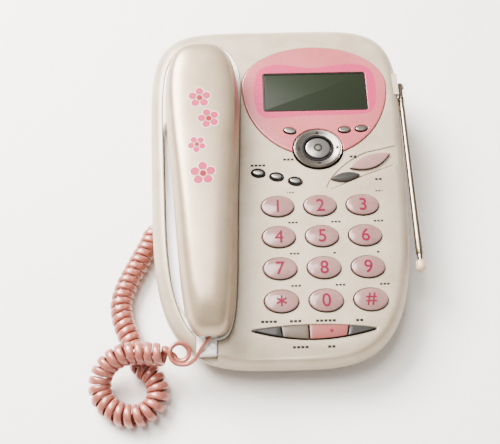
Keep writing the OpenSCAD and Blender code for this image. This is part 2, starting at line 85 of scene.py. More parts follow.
# Middle line of the cord: lead, coil and lead, as in the CAD model
BASE_LEAD = [(-73, 8, 10), (-76.5, 8, 9.9), (-79.6, 6.4, 9.5), (-81, 2.6, 8.8),
             (-80.9, -2.4, 8), (-80.9, -8, 7.4), (-81.5, -14, 7.2)]
COIL = [(-81.5, -14, 7.2), (-84.2, -24, 7), (-89, -35, 7), (-94, -46, 7), (-98, -56, 7),
        (-100.5, -68, 7), (-98.5, -80, 7), (-94, -91, 7), (-90, -100.5, 7), (-85.5, -109, 7),
        (-79.5, -115, 7), (-76, -122, 7), (-76.5, -129.5, 7), (-81, -135.5, 7),
        (-88, -138, 7), (-95.5, -137, 7), (-102, -133.5, 7.2), (-107, -128, 8),
        (-109, -121, 10), (-107, -114, 14.5), (-101.5, -109, 18.5), (-94, -106.5, 21.3),
        (-86, -106, 22), (-78, -107, 22), (-70.5, -107.6, 22)]
# The last turn is pulled open and is seen end-on. Then the lead rises through the channel to the chin
LOOP_MIDDLE = Vector((-61.9, -107.4, 24))
LOOP_AXES = (Vector((1, 0, -0.09)), Vector((0, 0.93, 0.36)), Vector((0.09, -0.36, 0.93)))
CHIN_LEAD = [(-57.2, -113.6, 23), (-53, -111.6, 25.8), (-49.9, -108, 29.6), (-46.9, -104.6, 32.4),
             (-44.4, -102, 33.6)]


# ---------- frames ----------

def box_in(matrix, node):
    """Lowest and highest corner of a CAD node in another frame, in metres."""
    back = matrix.inverted()
    points = [back @ v.co for v in frame["nodes"][node].data.vertices]
    low = Vector([min(p[i] for p in points) for i in range(3)])
    high = Vector([max(p[i] for p in points) for i in range(3)])
    return low, high


def middle_in(matrix, node):
    low, high = box_in(matrix, node)
    return (low + high) / 2


def joint(name):
    return next(j for j in frame["joints"] if j["name"] == name)


def deck_frame():
    normal = Vector(joint("handset_lift")["axis"])
    turn = Matrix.Rotation(math.atan2(-normal.y, normal.z), 4, "X")
    low, high = box_in(turn, "upper_case")
    return Matrix.Translation(turn @ Vector((0, (low.y + high.y) / 2, high.z))) @ turn


def handset_frame():
    ear, mouth = (middle_in(DECK, n) for n in ("earpiece_speaker", "handset_microphone"))
    along = ear - mouth
    along.z = 0
    along.normalize()
    origin = mouth - along * MOUTH_Y * MM
    yaw = math.atan2(-along.x, along.y)
    return DECK @ Matrix.Translation((origin.x, origin.y, 0)) @ Matrix.Rotation(yaw, 4, "Z")


def antenna_frame():
    """Its origin is the pivot, and its z runs along the folded tube."""
    low, high = box_in(DECK, "antenna_tube")
    pivot = Vector(((low.x + high.x) / 2, high.y - 0.0027, (low.z + high.z) / 2))
    return DECK @ Matrix.Translation(pivot) @ Matrix.Rotation(math.radians(90), 4, "X")


DECK = deck_frame()
HANDSET = handset_frame()
ANTENNA = antenna_frame()


def at(matrix, point):
    """A point in millimetres of one frame, in metres of the row frame."""
    return matrix @ (Vector(point) * MM)


def key_place(node):
    """Middle of a key on the deck, in millimetres."""
    centre = middle_in(DECK, node)
    return centre.x / MM, centre.y / MM


def key_size(node):
    """Width and depth of a key's cap: the flange under it is 1.4 mm wider."""
    low, high = box_in(DECK, node)
    return (high.x - low.x) / MM - 1.4, (high.y - low.y) / MM - 1.4


# ---------- outlines: closed lists of (x, y), anticlockwise ----------

def power_cos(f, n):
    return math.copysign(abs(f) ** (2 / n), f)


def even_angles(curve, count):
    """Angles that spread count points evenly along a closed curve of an angle in degrees."""
    steps = 1440
    points = [Vector(curve(360 * i / steps)) for i in range(steps + 1)]
    length = [0]
    for a, b in zip(points, points[1:]):
        length.append(length[-1] + (b - a).length)
    angles, i = [], 0
    for k in range(count):
        goal = length[-1] * k / count
        while length[i + 1] < goal:
            i += 1
        part = (goal - length[i]) / (length[i + 1] - length[i])
        angles.append(360 * (i + part) / steps)
    return angles


def base_point(t, inset=(0, 0, 0)):
    s, c = math.sin(math.radians(t)), math.cos(math.radians(t))
    n = BODY_POWERS[0 if s >= 0 else 1]
    s, c = power_cos(s, n), power_cos(c, n)
    return (BODY_X + (BODY_HALF_W - inset[0] + BODY_FLARE * s) * c,
            s * (BODY_HALF_D - (inset[2] if s >= 0 else inset[1])))


def handset_point(t, inset=0):
    s, c = math.sin(math.radians(t)), math.cos(math.radians(t))
    n = HANDSET_POWERS[0 if s >= 0 else 1]
    s, c = power_cos(s, n), power_cos(c, n)
    return ((HANDSET_HALF_W - inset + HANDSET_TAPER[0] * s + HANDSET_TAPER[1] * s * s) * c,
            (HANDSET_HALF_L - inset) * s)


def mirror_even(angles):
    """The same count of angles, made to match on both sides of the y axis."""
    right = [a for a in angles if a < 90 or a > 270]
    half = sorted((a - 360 if a > 270 else a) for a in right)
    return [a % 360 for a in half] + [(180 - a) % 360 for a in reversed(half)]


BASE_ANGLES = even_angles(base_point, 160)
HANDSET_ANGLES = mirror_even([a + 0.9 for a in even_angles(handset_point, 128)])


def base_outline(inset=(0, 0, 0)):
    return [base_point(t, inset) for t in BASE_ANGLES]


def handset_outline(inset=0):
    return [handset_point(t, inset) for t in HANDSET_ANGLES]


def oval(width, depth, middle=(0, 0), turn=0, count=48):
    c, s = math.cos(math.radians(turn)), math.sin(math.radians(turn))
    turns = [2 * math.pi * i / count for i in range(count)]
    flat = [(width / 2 * math.cos(a), depth / 2 * math.sin(a)) for a in turns]
    return [(middle[0] + x * c - y * s, middle[1] + x * s + y * c) for x, y in flat]


def rounded_box(x0, x1, y0, y1, r, count=6):
    corners = [(x1 - r, y0 + r, -90), (x1 - r, y1 - r, 0), (x0 + r, y1 - r, 90), (x0 + r, y0 + r, 180)]
    spots = [(x, y, math.radians(a + 90 * i / count)) for x, y, a in corners for i in range(count + 1)]
    return [(x + r * math.cos(a), y + r * math.sin(a)) for x, y, a in spots]


def disc(radius, y, count):
    """Circle on the y axis."""
    return oval(2 * radius, 2 * radius, (0, y), 0, count)


def moved(points, place, turn=0):
    c, s = math.cos(math.radians(turn)), math.sin(math.radians(turn))
    return [(place[0] + x * c - y * s, place[1] + x * s + y * c) for x, y in points]


def lens(half_l, up, down, tip=0.35, count=14):
    """Two arcs between tips on the x axis; tip is how blunt the tips are."""
    xs = [half_l * (1 - 2 * i / count) for i in range(count + 1)]
    over = [(x, tip + (up - tip) * (1 - (x / half_l) ** 2)) for x in xs]
    under = [(-x, -tip - (down - tip) * (1 - (x / half_l) ** 2)) for x in xs]
    return over + under


def smooth_loop(points, steps=6):
    """Closed smooth curve through a few points."""
    n = len(points)
    out = []
    for i in range(n):
        a, b, c, d = (Vector(points[(i + k) % n]) for k in (-1, 0, 1, 2))
        out += [tuple(spline(a, b, c, d, k / steps)) for k in range(steps)]
    return out


def spline(a, b, c, d, t):
    return 0.5 * (2 * b + (c - a) * t + (2 * a - 5 * b + 4 * c - d) * t * t
                  + (3 * b - a - 3 * c + d) * t ** 3)


def smooth_path(points, steps):
    """Smooth curve through points of a route, with the ends kept."""
    p = [Vector(q) for q in points]
    p = [2 * p[0] - p[1]] + p + [2 * p[-1] - p[-2]]
    out = [spline(*p[i:i + 4], k / steps) for i in range(len(p) - 3) for k in range(steps)]
    return out + [p[-2]]


def offset(points, grow):
    """An outline moved out by grow, or in where grow is negative."""
    if abs(grow) < 1e-9:
        return list(points)
    out = []
    n = len(points)
    for i in range(n):
        a, b, c = (Vector(points[(i + k) % n]) for k in (-1, 0, 1))
        p, q = (b - a).normalized(), (c - b).normalized()
        side = Vector((p.y + q.y, -p.x - q.x))
        if side.length < 1e-6:
            side = Vector((p.y, -p.x))
        side.normalize()
        reach = grow / max(0.45, side.dot(Vector((p.y, -p.x))))
        out.append(tuple(b + side * reach))
    return out


# ---------- meshes ----------

def loft(rings, around=False):
    """Skin over rings of equal length. It has end caps, or with around it closes on itself."""
    n, count = len(rings[0]), len(rings)
    verts = [p for r in rings for p in r]
    faces = []
    for i in range(count if around else count - 1):
        j = (i + 1) % count
        faces += [(i * n + k, i * n + (k + 1) % n, j * n + (k + 1) % n, j * n + k) for k in range(n)]
    if not around:
        faces.append(tuple(range(n - 1, -1, -1)))
        faces.append(tuple((count - 1) * n + k for k in range(n)))
    return verts, faces


def together(*parts):
    verts, faces = [], []
    for v, f in parts:
        base = len(verts)
        verts += v
        faces += [tuple(i + base for i in face) for face in f]
    return verts, faces


def make(name, matrix, part, material, angle=32, merge=0):
    """A mesh object in the row frame, from vertices in millimetres of one frame."""
    verts, faces = part
    mesh = bpy.data.meshes.new(name)
    mesh.from_pydata([at(matrix, v) for v in verts], [], faces)
    work = bmesh.new()
    work.from_mesh(mesh)
    if merge:
        bmesh.ops.remove_doubles(work, verts=work.verts, dist=merge * MM)
    bmesh.ops.recalc_face_normals(work, faces=work.faces)
    work.to_mesh(mesh)
    work.free()
    obj = bpy.data.objects.new(name, mesh)
    bpy.context.scene.collection.objects.link(obj)
    if material:
        mesh.materials.append(material)
    smooth(obj, angle)
    return obj


def smooth(obj, angle=32):
    obj.data.polygons.foreach_set("use_smooth", [True] * len(obj.data.polygons))
    obj.data.set_sharp_from_angle(angle=math.radians(angle))


def settle(obj):
    """Turns an object's modifiers into its mesh."""
    graph = bpy.context.evaluated_depsgraph_get()
    mesh = bpy.data.meshes.new_from_object(obj.evaluated_get(graph))
    obj.modifiers.clear()
    old, obj.data = obj.data, mesh
    bpy.data.meshes.remove(old)
    mesh.name = obj.name


def carve(obj, matrix, part, operation="DIFFERENCE", angle=32, mixed=False):
    """Cuts a solid out of obj, or joins it to obj. With mixed, obj's own solids may cross."""
    tool = make("tool", matrix, part, None)
    cut = obj.modifiers.new("cut", "BOOLEAN")
    cut.object, cut.operation, cut.solver, cut.use_self = tool, operation, "EXACT", mixed
    settle(obj)
    mesh = tool.data
    bpy.data.objects.remove(tool)
    bpy.data.meshes.remove(mesh)
    smooth(obj, angle)


def ring(points, z):
    return [(x, y, z) for x, y in points]


def solid(points, profile):
    """Skin through copies of an outline. profile is a list of (grow, z) or (grow, z, scale)."""
    rings = []
    cx = sum(p[0] for p in points) / len(points)
    cy = sum(p[1] for p in points) / len(points)
    for grow, z, *scale in profile:
        k = scale[0] if scale else 1
        rings.append(ring([(cx + (x - cx) * k, cy + (y - cy) * k) for x, y in offset(points, grow)], z))
    return loft(rings)


def fillet(grow, z, inset, rise, steps=5):
    """Profile of a rounded upper edge, from (grow, z) up and inwards."""
    turn = [math.radians(90 * i / steps) for i in range(steps + 1)]
    return [(grow - inset * (1 - math.cos(a)), z + rise * math.sin(a)) for a in turn]


def bore(points, depth, edge=0.5, top=0.0):
    """Solid that cuts an opening with a rounded upper edge."""
    turn = [math.radians(72 * i / 4) for i in range(5)]
    lip = [(edge * (1 - math.cos(a)), top - edge + edge * math.sin(a)) for a in turn]
    return solid(points, [(0, top - depth)] + lip + [(edge * 0.95, top + 0.4)])


def dome(top, rise, flange_z=-2.8):
    """Profile of a key's cap with a domed top."""
    return ([(-0.3, flange_z), (-0.3, -0.6), (0, -0.45)] + fillet(0, top - 1.0, 1.1, 0.9, 5)
            + [(-1.1, top + rise * (1 - k * k), k) for k in (0.86, 0.7, 0.5, 0.3, 0.1)])


def lathe(profile, count=32):
    """Solid of revolution about z. profile is a list of (radius, z)."""
    return loft([[(r * math.cos(2 * math.pi * i / count), r * math.sin(2 * math.pi * i / count), z)
                  for i in range(count)] for r, z in profile])


def torus_loft(sizes, middle, count=56):
    """Oval band: sizes is a closed list of (width, depth, z)."""
    return loft([ring(oval(w, d, middle, 0, count), z) for w, d, z in sizes], around=True)


# ---------- materials ----------

def node(tree, kind, **values):
    made = tree.nodes.new(kind)
    for key, value in values.items():
        if key in made.inputs:
            made.inputs[key].default_value = value
        else:
            setattr(made, key, value)
    return made


def shade(color, k):
    return (*(min(1, c * k) for c in color), 1)


def flaked(tree, where, colour, flakes):
    """Colour made a little lighter and darker from one small cell to the next."""
    cells = node(tree, "ShaderNodeTexVoronoi", Scale=2600.0)
    tree.links.new(where, cells.inputs["Vector"])
    spark = node(tree, "ShaderNodeMapRange")
    spark.inputs["To Min"].default_value, spark.inputs["To Max"].default_value = 1 - flakes, 1 + flakes
    tree.links.new(cells.outputs["Color"], spark.inputs["Value"])
    mix = node(tree, "ShaderNodeMix", data_type="RGBA", blend_type="MULTIPLY")
    mix.inputs["Factor"].default_value = 1
    tree.links.new(colour, mix.inputs[6])
    tree.links.new(spark.outputs["Result"], mix.inputs[7])
    return mix.outputs[2]


def finish(name, color, rough, spread=0.06, blotch=55, grain=900, bump=0.05, depth=0.0002, wear=0.05,
           flakes=0.0, second=None, **shader):
    """Moulded surface: slow colour change, fine grain in height and roughness, optional flakes."""
    material = bpy.data.materials.new(name)
    material.use_nodes = True
    tree = material.node_tree
    surface = tree.nodes["Principled BSDF"]
    for key, value in shader.items():
        surface.inputs[key].default_value = value
    link = tree.links.new
    where = node(tree, "ShaderNodeTexCoord").outputs["Object"]
    slow = node(tree, "ShaderNodeTexNoise", Scale=blotch, Detail=5.0, Roughness=0.55)
    link(where, slow.inputs["Vector"])
    ramp = node(tree, "ShaderNodeValToRGB")
    dark, light = ramp.color_ramp.elements
    dark.position, light.position = 0.3, 0.7
    dark.color, light.color = shade(color, 1 - spread), shade(second or color, 1 + spread * 0.6)
    link(slow.outputs["Fac"], ramp.inputs["Fac"])
    colour = ramp.outputs["Color"]
    fine = node(tree, "ShaderNodeTexNoise", Scale=grain, Detail=3.0, Roughness=0.6)
    link(where, fine.inputs["Vector"])
    if flakes:
        colour = flaked(tree, where, colour, flakes)
    link(colour, surface.inputs["Base Color"])
    worn = node(tree, "ShaderNodeMapRange")
    worn.inputs["To Min"].default_value, worn.inputs["To Max"].default_value = rough - wear, rough + wear
    link(fine.outputs["Fac"], worn.inputs["Value"])
    link(worn.outputs["Result"], surface.inputs["Roughness"])
    lift = node(tree, "ShaderNodeBump", Strength=bump, Distance=depth)
    link(fine.outputs["Fac"], lift.inputs["Height"])
    link(lift.outputs["Normal"], surface.inputs["Normal"])
    return material


def brushed(name, color, rough, axis):
    """Metal with fine lines across one axis of the object."""
    material = finish(name, color, rough, spread=0.1, Metallic=1.0)
    tree = material.node_tree
    stretch = node(tree, "ShaderNodeMapping")
    stretch.inputs["Scale"].default_value = [1 if i == axis else 14 for i in range(3)]
    where = next(n for n in tree.nodes if n.type == "TEX_COORD").outputs["Object"]
    tree.links.new(where, stretch.inputs["Vector"])
    for n in tree.nodes:
        if n.type == "TEX_NOISE":
            tree.links.new(stretch.outputs["Vector"], n.inputs["Vector"])
    return material


PEARL = dict(Metallic=0.2, **{"Coat Weight": 0.15, "Coat Roughness": 0.22, "Specular IOR Level": 0.35})
GLOSS = {"Coat Weight": 0.5, "Coat Roughness": 0.08}
PRINT = {"Specular IOR Level": 0.15}
GLASSY = {"Coat Weight": 0.55, "Coat Roughness": 0.05, "Subsurface Weight": 0.15, "Subsurface Scale": 0.002}

LOOKS = {
    "case_pearl": finish("case_pearl", (0.42, 0.325, 0.22), 0.42, 0.05, flakes=0.06, grain=1500,
                         second=(0.465, 0.38, 0.275), **PEARL),
    "case_base": finish("case_base", (0.28, 0.195, 0.118), 0.42, 0.05, flakes=0.05, grain=1500, **PEARL),
    "tray_white": finish("tray_white", (0.86, 0.83, 0.77), 0.16, 0.02, bump=0.015, **GLOSS),
    "panel_pink": finish("panel_pink", (0.39, 0.078, 0.086), 0.28, 0.05, blotch=30, bump=0.02,
                         second=(0.41, 0.092, 0.104), **GLOSS),
    "panel_print": finish("panel_print", (0.42, 0.025, 0.092), 0.28, 0.06, blotch=22, bump=0.02, **GLOSS),
    "window_clear": finish("window_clear", (0.011, 0.015, 0.0075), 0.45, 0.12, blotch=18, grain=500,
                           bump=0.01, **{"Specular IOR Level": 0.12}),
    # near-black for dark rims; on the sides of the panel and strip keys it is painted shade of the gaps, and round
    # the direction ring and its middle key it is partly painted shade
    "window_rim": finish("window_rim", (0.006, 0.005, 0.005), 0.5, 0.15, bump=0.02, **PRINT),
    "lcd_glass": finish("lcd_glass", (0.12, 0.15, 0.10), 0.3, 0.1),
    "board_green": finish("board_green", (0.03, 0.17, 0.06), 0.4, 0.2, blotch=180),
    "silicone": finish("silicone", (0.62, 0.60, 0.56), 0.6, 0.05),
    "silver_plastic": brushed("silver_plastic", (0.28, 0.25, 0.215), 0.28, 0),
    "inner_plastic": finish("inner_plastic", (0.47, 0.385, 0.29), 0.5, 0.06),
    "select_pearl": finish("select_pearl", (0.25, 0.235, 0.21), 0.26, 0.05, flakes=0.05, Metallic=0.85,
                           **GLOSS),
    "switch_white": finish("switch_white", (0.86, 0.84, 0.80), 0.35, 0.03),
    "key_pearl": finish("key_pearl", (0.235, 0.118, 0.105), 0.2, 0.06, blotch=90, flakes=0.03, bump=0.02,
                        second=(0.285, 0.155, 0.14), Metallic=0.1, **GLASSY),
    # painted shade: near-black finish for the upright sides of the dial and leaf keys, standing for the shadow in
    # the gap round each key
    "key_gap_shade": finish("key_gap_shade", (0.035, 0.015, 0.013), 0.4, 0.1, bump=0.02, **GLOSS),
    "key_pink": finish("key_pink", (0.31, 0.165, 0.15), 0.24, 0.08, blotch=90, bump=0.02, Metallic=0.15,
                       **GLOSS),
    "key_grey": finish("key_grey", (0.034, 0.031, 0.028), 0.3, 0.12, bump=0.03, Metallic=0.3,
                       **{"Coat Weight": 0.15}),
    "key_beige": finish("key_beige", (0.088, 0.062, 0.042), 0.34, 0.06, bump=0.03, Metallic=0.2,
                        **{"Coat Weight": 0.15}),
    "key_salmon": finish("key_salmon", (0.22, 0.052, 0.042), 0.32, 0.06, blotch=80, bump=0.02, **GLOSS),
    "digit_magenta": finish("digit_magenta", (0.15, 0.0008, 0.022), 0.5, 0.06, **PRINT),
    "mark_grey": finish("mark_grey", (0.014, 0.011, 0.010), 0.5, 0.1, **PRINT),
    "petal_pink": finish("petal_pink", (0.44, 0.035, 0.095), 0.45, 0.08, blotch=140, **PRINT),
    "petal_edge": finish("petal_edge", (0.84, 0.78, 0.73), 0.4, 0.02, **PRINT),
    "petal_heart": finish("petal_heart", (0.24, 0.001, 0.02), 0.45, 0.06, **PRINT),
    "antenna_steel": brushed("antenna_steel", (0.26, 0.21, 0.16), 0.24, 1),
    "cap_cream": finish("cap_cream", (0.52, 0.37, 0.22), 0.34, 0.04, **{"Coat Weight": 0.3}),
    "speaker_dark": finish("speaker_dark", (0.06, 0.06, 0.06), 0.6, 0.15),
    "socket_plastic": finish("socket_plastic", (0.66, 0.63, 0.58), 0.4, 0.04),
    "socket_black": finish("socket_black", (0.035, 0.033, 0.03), 0.4, 0.15),
    "feet_rubber": finish("feet_rubber", (0.24, 0.225, 0.21), 0.75, 0.1, bump=0.15),
    "screw_steel": brushed("screw_steel", (0.55, 0.54, 0.52), 0.35, 0),
    "handset_pearl": finish("handset_pearl", (0.36, 0.26, 0.165), 0.33, 0.04, flakes=0.08, grain=1300,
                            second=(0.40, 0.305, 0.205), Metallic=0.45,
                            **{"Coat Weight": 0.22, "Coat Roughness": 0.22, "Specular IOR Level": 0.3}),
    "handset_under": finish("handset_under", (0.30, 0.20, 0.125), 0.34, 0.05, flakes=0.06, grain=1300,
                            **PEARL),
    "weight_iron": finish("weight_iron", (0.25, 0.24, 0.23), 0.5, 0.1, Metallic=0.9),
    "plug_clear": finish("plug_clear", (0.78, 0.74, 0.70), 0.1, 0.04, bump=0.01,
                         **{"Transmission Weight": 0.6, "IOR": 1.5}),
    "cord_pink": finish("cord_pink", (0.31, 0.078, 0.05), 0.33, 0.08, blotch=260, flakes=0.05, grain=1200,
                        second=(0.37, 0.115, 0.08), Metallic=0.2,
                        **{"Coat Weight": 0.6, "Coat Roughness": 0.2}),
}


def keep_nodes():
    """Gives every CAD node the finish of its slot."""
    for part in frame["record"]["subparts"]:
        mesh = frame["nodes"][part["node"]].data
        mesh.materials.clear()
        mesh.materials.append(LOOKS[part["material_slot"]])
        smooth(frame["nodes"][part["node"]], 30)


def settle_piece(obj, body, slot, *replaced):
    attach(obj, body)
    if replaced:
        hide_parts(*replaced)
    return obj


# ---------- camera, light and floor ----------

CAMERA_PLACE = (-0.02426, -0.26476, 0.42832)
CAMERA_TURN = (31.046, 0.237, -1.352)
WARM_WHITE = (1.0, 0.98, 0.955)


def camera():
    data = bpy.data.cameras.new("camera")
    data.lens, data.sensor_width = 54, 36
    data.clip_start, data.clip_end = 0.01, 20
    obj = bpy.data.objects.new("camera", data)
    obj.location = CAMERA_PLACE
    obj.rotation_euler = [math.radians(a) for a in CAMERA_TURN]
    bpy.context.scene.collection.objects.link(obj)
    bpy.context.scene.camera = obj


def lamp(name, place, target, size, power, color):
    data = bpy.data.lights.new(name, "AREA")
    data.shape, data.size, data.size_y = "RECTANGLE", size[0], size[1]
    data.energy, data.color = power, color
    obj = bpy.data.objects.new(name, data)
    obj.location = place
    obj.rotation_euler = (Vector(target) - Vector(place)).to_track_quat("-Z", "Y").to_euler()
    bpy.context.scene.collection.objects.link(obj)


def studio():
    lamp("key_light", (-0.8, 0.75, 1.1), (0, 0, 0.03), (0.9, 0.7), 125, WARM_WHITE)
    lamp("top_light", (-0.45, 0.2, 1.35), (-0.03, 0, 0), (0.7, 0.9), 34, (1.0, 0.99, 0.975))
    lamp("front_light", (0.4, -1.3, 0.7), (0, 0, 0.03), (1.0, 0.6), 2, (1.0, 0.97, 0.94))
    world = bpy.data.worlds.new("studio")
    world.use_nodes = True
    world.node_tree.nodes["Background"].inputs["Color"].default_value = (*WARM_WHITE, 1)
    world.node_tree.nodes["Background"].inputs["Strength"].default_value = 0.52
    bpy.context.scene.world = world


def floor():
    half, steps = 5, 20
    look = finish("floor_paper", (0.96, 0.915, 0.86), 0.7, 0.01, blotch=4, grain=300, bump=0.02)
    line = [-half + 2 * half * i / steps for i in range(steps + 1)]
    verts = [(x / MM, y / MM, 0) for y in line for x in line]
    row = steps + 1
    faces = [(j * row + i, j * row + i + 1, (j + 1) * row + i + 1, (j + 1) * row + i)
             for j in range(steps) for i in range(steps)]
    make("floor", WORLD, (verts, faces), look)


# ---------- curly cord ----------

def route_frames(points):
    """Each point with its tangent and two side vectors, turned as little as possible."""
    n = len(points)
    side = Vector((0, 0, 1))
    out = []
    for i, p in enumerate(points):
        along = (points[min(i + 1, n - 1)] - points[max(i - 1, 0)]).normalized()
        side = (side - along * side.dot(along)).normalized()
        out.append((p, along, side, along.cross(side)))
    return out


def lengths(points):
    total = [0.0]
    for a, b in zip(points, points[1:]):
        total.append(total[-1] + (b - a).length)
    return total


def along_route(frames, total, goal, start=0):
    """Frame at one distance along a route, and the index it was found at."""
    i = start
    while i < len(total) - 2 and total[i + 1] < goal:
        i += 1
    t = (goal - total[i]) / (total[i + 1] - total[i])
    a, b = frames[i], frames[i + 1]
    return [a[k].lerp(b[k], t) for k in range(4)], i


def bend_of(frames, total, goal):
    """Vector towards the inside of the bend: its length is 1 over the radius."""
    step = 4.0
    a, _ = along_route(frames, total, max(0.0, goal - step))
    b, _ = along_route(frames, total, min(total[-1], goal + step))
    return (b[1] - a[1]) / (2 * step)


def opened_turn():
    """Points of the pulled-open turn: a spiral that grows and comes forward."""
    points = []
    for i in range(13):
        share = i / 12
        turn, reach = math.radians(200 + 430 * share), 4 + 2.5 * share
        across, upward, forward = LOOP_AXES
        points.append(LOOP_MIDDLE + across * reach * math.cos(turn) + upward * reach * math.sin(turn)
                      + forward * (3.6 * share - 2.4))
    return points


def cord_line():
    """Points of the cord from jack to chin, each with its outward side and its section's size."""
    line = []
    for p, _, _, other in route_frames(smooth_path(BASE_LEAD, 5))[:-1]:
        line.append((p, other, LEAD))
    middle = smooth_path(COIL, 8)
    frames, total = route_frames(middle), lengths(middle)
    turns = round(total[-1] / COIL_PITCH)
    per_turn, found = 18, 0
    for k in range(turns * per_turn + 1):
        share = k / (turns * per_turn)
        goal = share * total[-1]
        (p, _, side, other), found = along_route(frames, total, goal, found)
        angle = 2 * math.pi * k / per_turn - math.pi / 2
        out = side * math.cos(angle) + other * math.sin(angle)
        edge = min(1, k / per_turn, (turns * per_turn - k) / (0.6 * per_turn) + 0.35)
        radius = COIL_R * math.sin(edge * math.pi / 2)
        squeeze = 1 - COIL_R * bend_of(frames, total, goal).dot(out)
        width = min(RIBBON[0], max(3.1, RIBBON[0] * squeeze)) * (0.75 + 0.25 * edge)
        line.append((p + out * radius, out, (width, RIBBON[1])))
    lead = [line[-1][0]] + opened_turn() + [Vector(q) for q in CHIN_LEAD]
    return line + [(p, None, LEAD) for p in smooth_path(lead, 5)[1:]]


def section(size, count=12):
    """Rounded ribbon section: size is (width, thickness)."""
    n = 2.6
    return [(size[0] / 2 * power_cos(math.cos(2 * math.pi * i / count), n),
             size[1] / 2 * power_cos(math.sin(2 * math.pi * i / count), n)) for i in range(count)]


def curly_cord():
    line = cord_line()
    points = [p for p, _, _ in line]
    rings = []
    out = line[0][1]
    for i, (p, wanted, size) in enumerate(line):
        along = (points[min(i + 1, len(points) - 1)] - points[max(i - 1, 0)]).normalized()
        goal = wanted if wanted is not None else out
        out = out.lerp(goal, 0.5)
        out = (out - along * out.dot(along)).normalized()
        across = along.cross(out)
        rings.append([tuple(p + across * a + out * b) for a, b in section(size)])
    cord = make("curly_cord", WORLD, loft(rings), LOOKS["cord_pink"], 60)
    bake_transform(cord)
    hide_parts("cord_coil", "lead_base", "lead_handset")
    plugs = [plug("jack_plug", "plug_base", "base"), plug("chin_plug", "plug_handset", "handset")]


def plug(name, cad, body):
    """Clear modular plug with a latch, inside the CAD plug's box."""
    matrix = WORLD if body == "base" else HANDSET
    lo, hi = (corner / MM for corner in box_in(matrix, cad))
    if body == "base":
        middle = (lo.y + hi.y) / 2
        latch = rounded_box(lo.x + 2, hi.x - 3, middle - 1.5, middle + 1.5, 0.4)
    else:
        latch = rounded_box(-1.5, 1.5, lo.y + 2, hi.y - 3, 0.4)
    block = solid(rounded_box(lo.x, hi.x, lo.y, hi.y, 0.6),
                  [(-0.4, lo.z + 0.4), (0, lo.z + 0.8)] + fillet(0, hi.z - 1.6, 0.5, 0.6))
    latch_part = solid(latch, [(0, hi.z - 1.2), (0, hi.z - 0.3), (-0.3, hi.z)])
    obj = make(name, matrix, together(block, latch_part), LOOKS["plug_clear"])
    return settle_piece(obj, body, "plug_clear", cad)


# ---------- casings ----------

def shoulder_rings(steps=9, sweep=80):
    """Rings from the parting line up to the deck."""
    rings = []
    for i in range(steps + 1):
        a = math.radians(sweep * i / steps)
        k = (1 - math.cos(a)) / (1 - math.cos(math.radians(sweep)))
        z = -SHOULDER + SHOULDER * math.sin(a) / math.sin(math.radians(sweep))
        rings.append(ring(base_outline([d * k for d in DECK_INSET]), z))
    return rings


def on_deck_plane(point):
    """A handset point in deck coordinates."""
    p = DECK.inverted() @ at(HANDSET, (*point, 0)) / MM
    return p.x, p.y


def cradle_area(grow=0.0):
    """Left part of the deck: its right edge stays under the handset and meets the cord channel."""
    inset = [d + 1 - grow for d in DECK_INSET]
    channel, edge, rear = CHANNEL[1] + 1.8 + grow, TRAY_EDGE + grow, TRAY_REAR + grow
    right = [on_deck_plane(handset_point(t, -grow)) for t in HANDSET_ANGLES if t > 270]
    right += [on_deck_plane(handset_point(t, -grow)) for t in HANDSET_ANGLES if t < 90]
    right = [p for p in right if p[0] > channel + 0.4 and p[1] < 28]
    corner = [(edge + TRAY_CORNER[0] * (math.cos(math.radians(a)) - 1),
               rear + TRAY_CORNER[1] * (math.sin(math.radians(a)) - 1)) for a in range(0, 91, 9)]
    left = [base_point(t, inset) for t in BASE_ANGLES if t > 95]
    left = [p for p in left if p[1] < rear and p[0] < channel - 0.4]
    return [(channel, base_edge_y(channel, inset)), (channel, right[0][1])] + right + corner + left


def base_edge_y(x, inset):
    """Where the front edge of the base crosses a line of constant x."""
    angles = [180 + i * 0.5 for i in range(361)]
    return min((abs(base_point(t, inset)[0] - x), base_point(t, inset)[1]) for t in angles)[1]


def nav_cut():
    return oval(*RING_WELL, key_place("nav_ring"), 0, 64)


RING_WELL = (32, 28.6)
LEAF_RECESS = [(76, 21.4), (63, 19.4), (52, 16.6), (42.5, 11), (34.5, 4), (28.4, -4.6), (29.4, -7.4),
               (38.2, -3.9), (51.5, 1.8), (62, 5.6), (76, 10.6)]
LEAF_LINE = [(30.2, -7.9), (38.4, -4.7), (51.7, 1.0), (62.2, 4.8), (70.5, 7.8), (70.3, 8.5), (62, 5.5),
             (51.4, 1.7), (38.1, -4.0), (30, -7.2)]      # groove along the recess's lower edge
STRIP_HALF, STRIP_UP, STRIP_DOWN = 35.3, 2.6, 5.4
STRIP_PLACE = (15, -96.4)
LEAVES = {"play_key": (56, 11.2, 20.6, 13.6, 3.9, 5.2),  # x, y, turn, half length, up, down
          "stop_key": (39.9, 0.4, 8, 8.9, 3, 3)}
DIGITS = {**{f"key_{i}": str(i) for i in range(10)}, "key_star": "*", "key_hash": "#"}
PANEL_KEYS = {"menu_key": -10, "memory_key": 4, "clear_key": 8}     # turn of each in degrees
TOUCH_KEYS = ("one_touch_1", "one_touch_2", "one_touch_3")
TOUCH_TURN = -8
GAP = 0.35                          # round a dial key


def small_oval(node_name, turn, grow=0.0):
    size = (7.8, 4.3) if node_name in PANEL_KEYS else (7.6, 4.6)
    return oval(size[0] + 2 * grow, size[1] + 2 * grow, key_place(node_name), turn, 32)


def leaf_outline(name, grow=0.0):
    x, y, turn, half, up, down = LEAVES[name]
    return moved(lens(half + grow, up + grow, down + grow, 0.3 + grow * 0.5), (x, y), turn)


def key_holes():
    dial = [bore(oval(*[s + 2 * GAP for s in key_size(n)], key_place(n), 0, 48), 9, 0.55) for n in DIGITS]
    touch = [bore(small_oval(n, TOUCH_TURN, 0.9), 9, 0.3) for n in TOUCH_KEYS]
    strip = lens(STRIP_HALF + 0.5, STRIP_UP + GAP, STRIP_DOWN + GAP, 0.4)
    return together(*dial, *touch, bore(moved(strip, STRIP_PLACE), 9, 0.9))


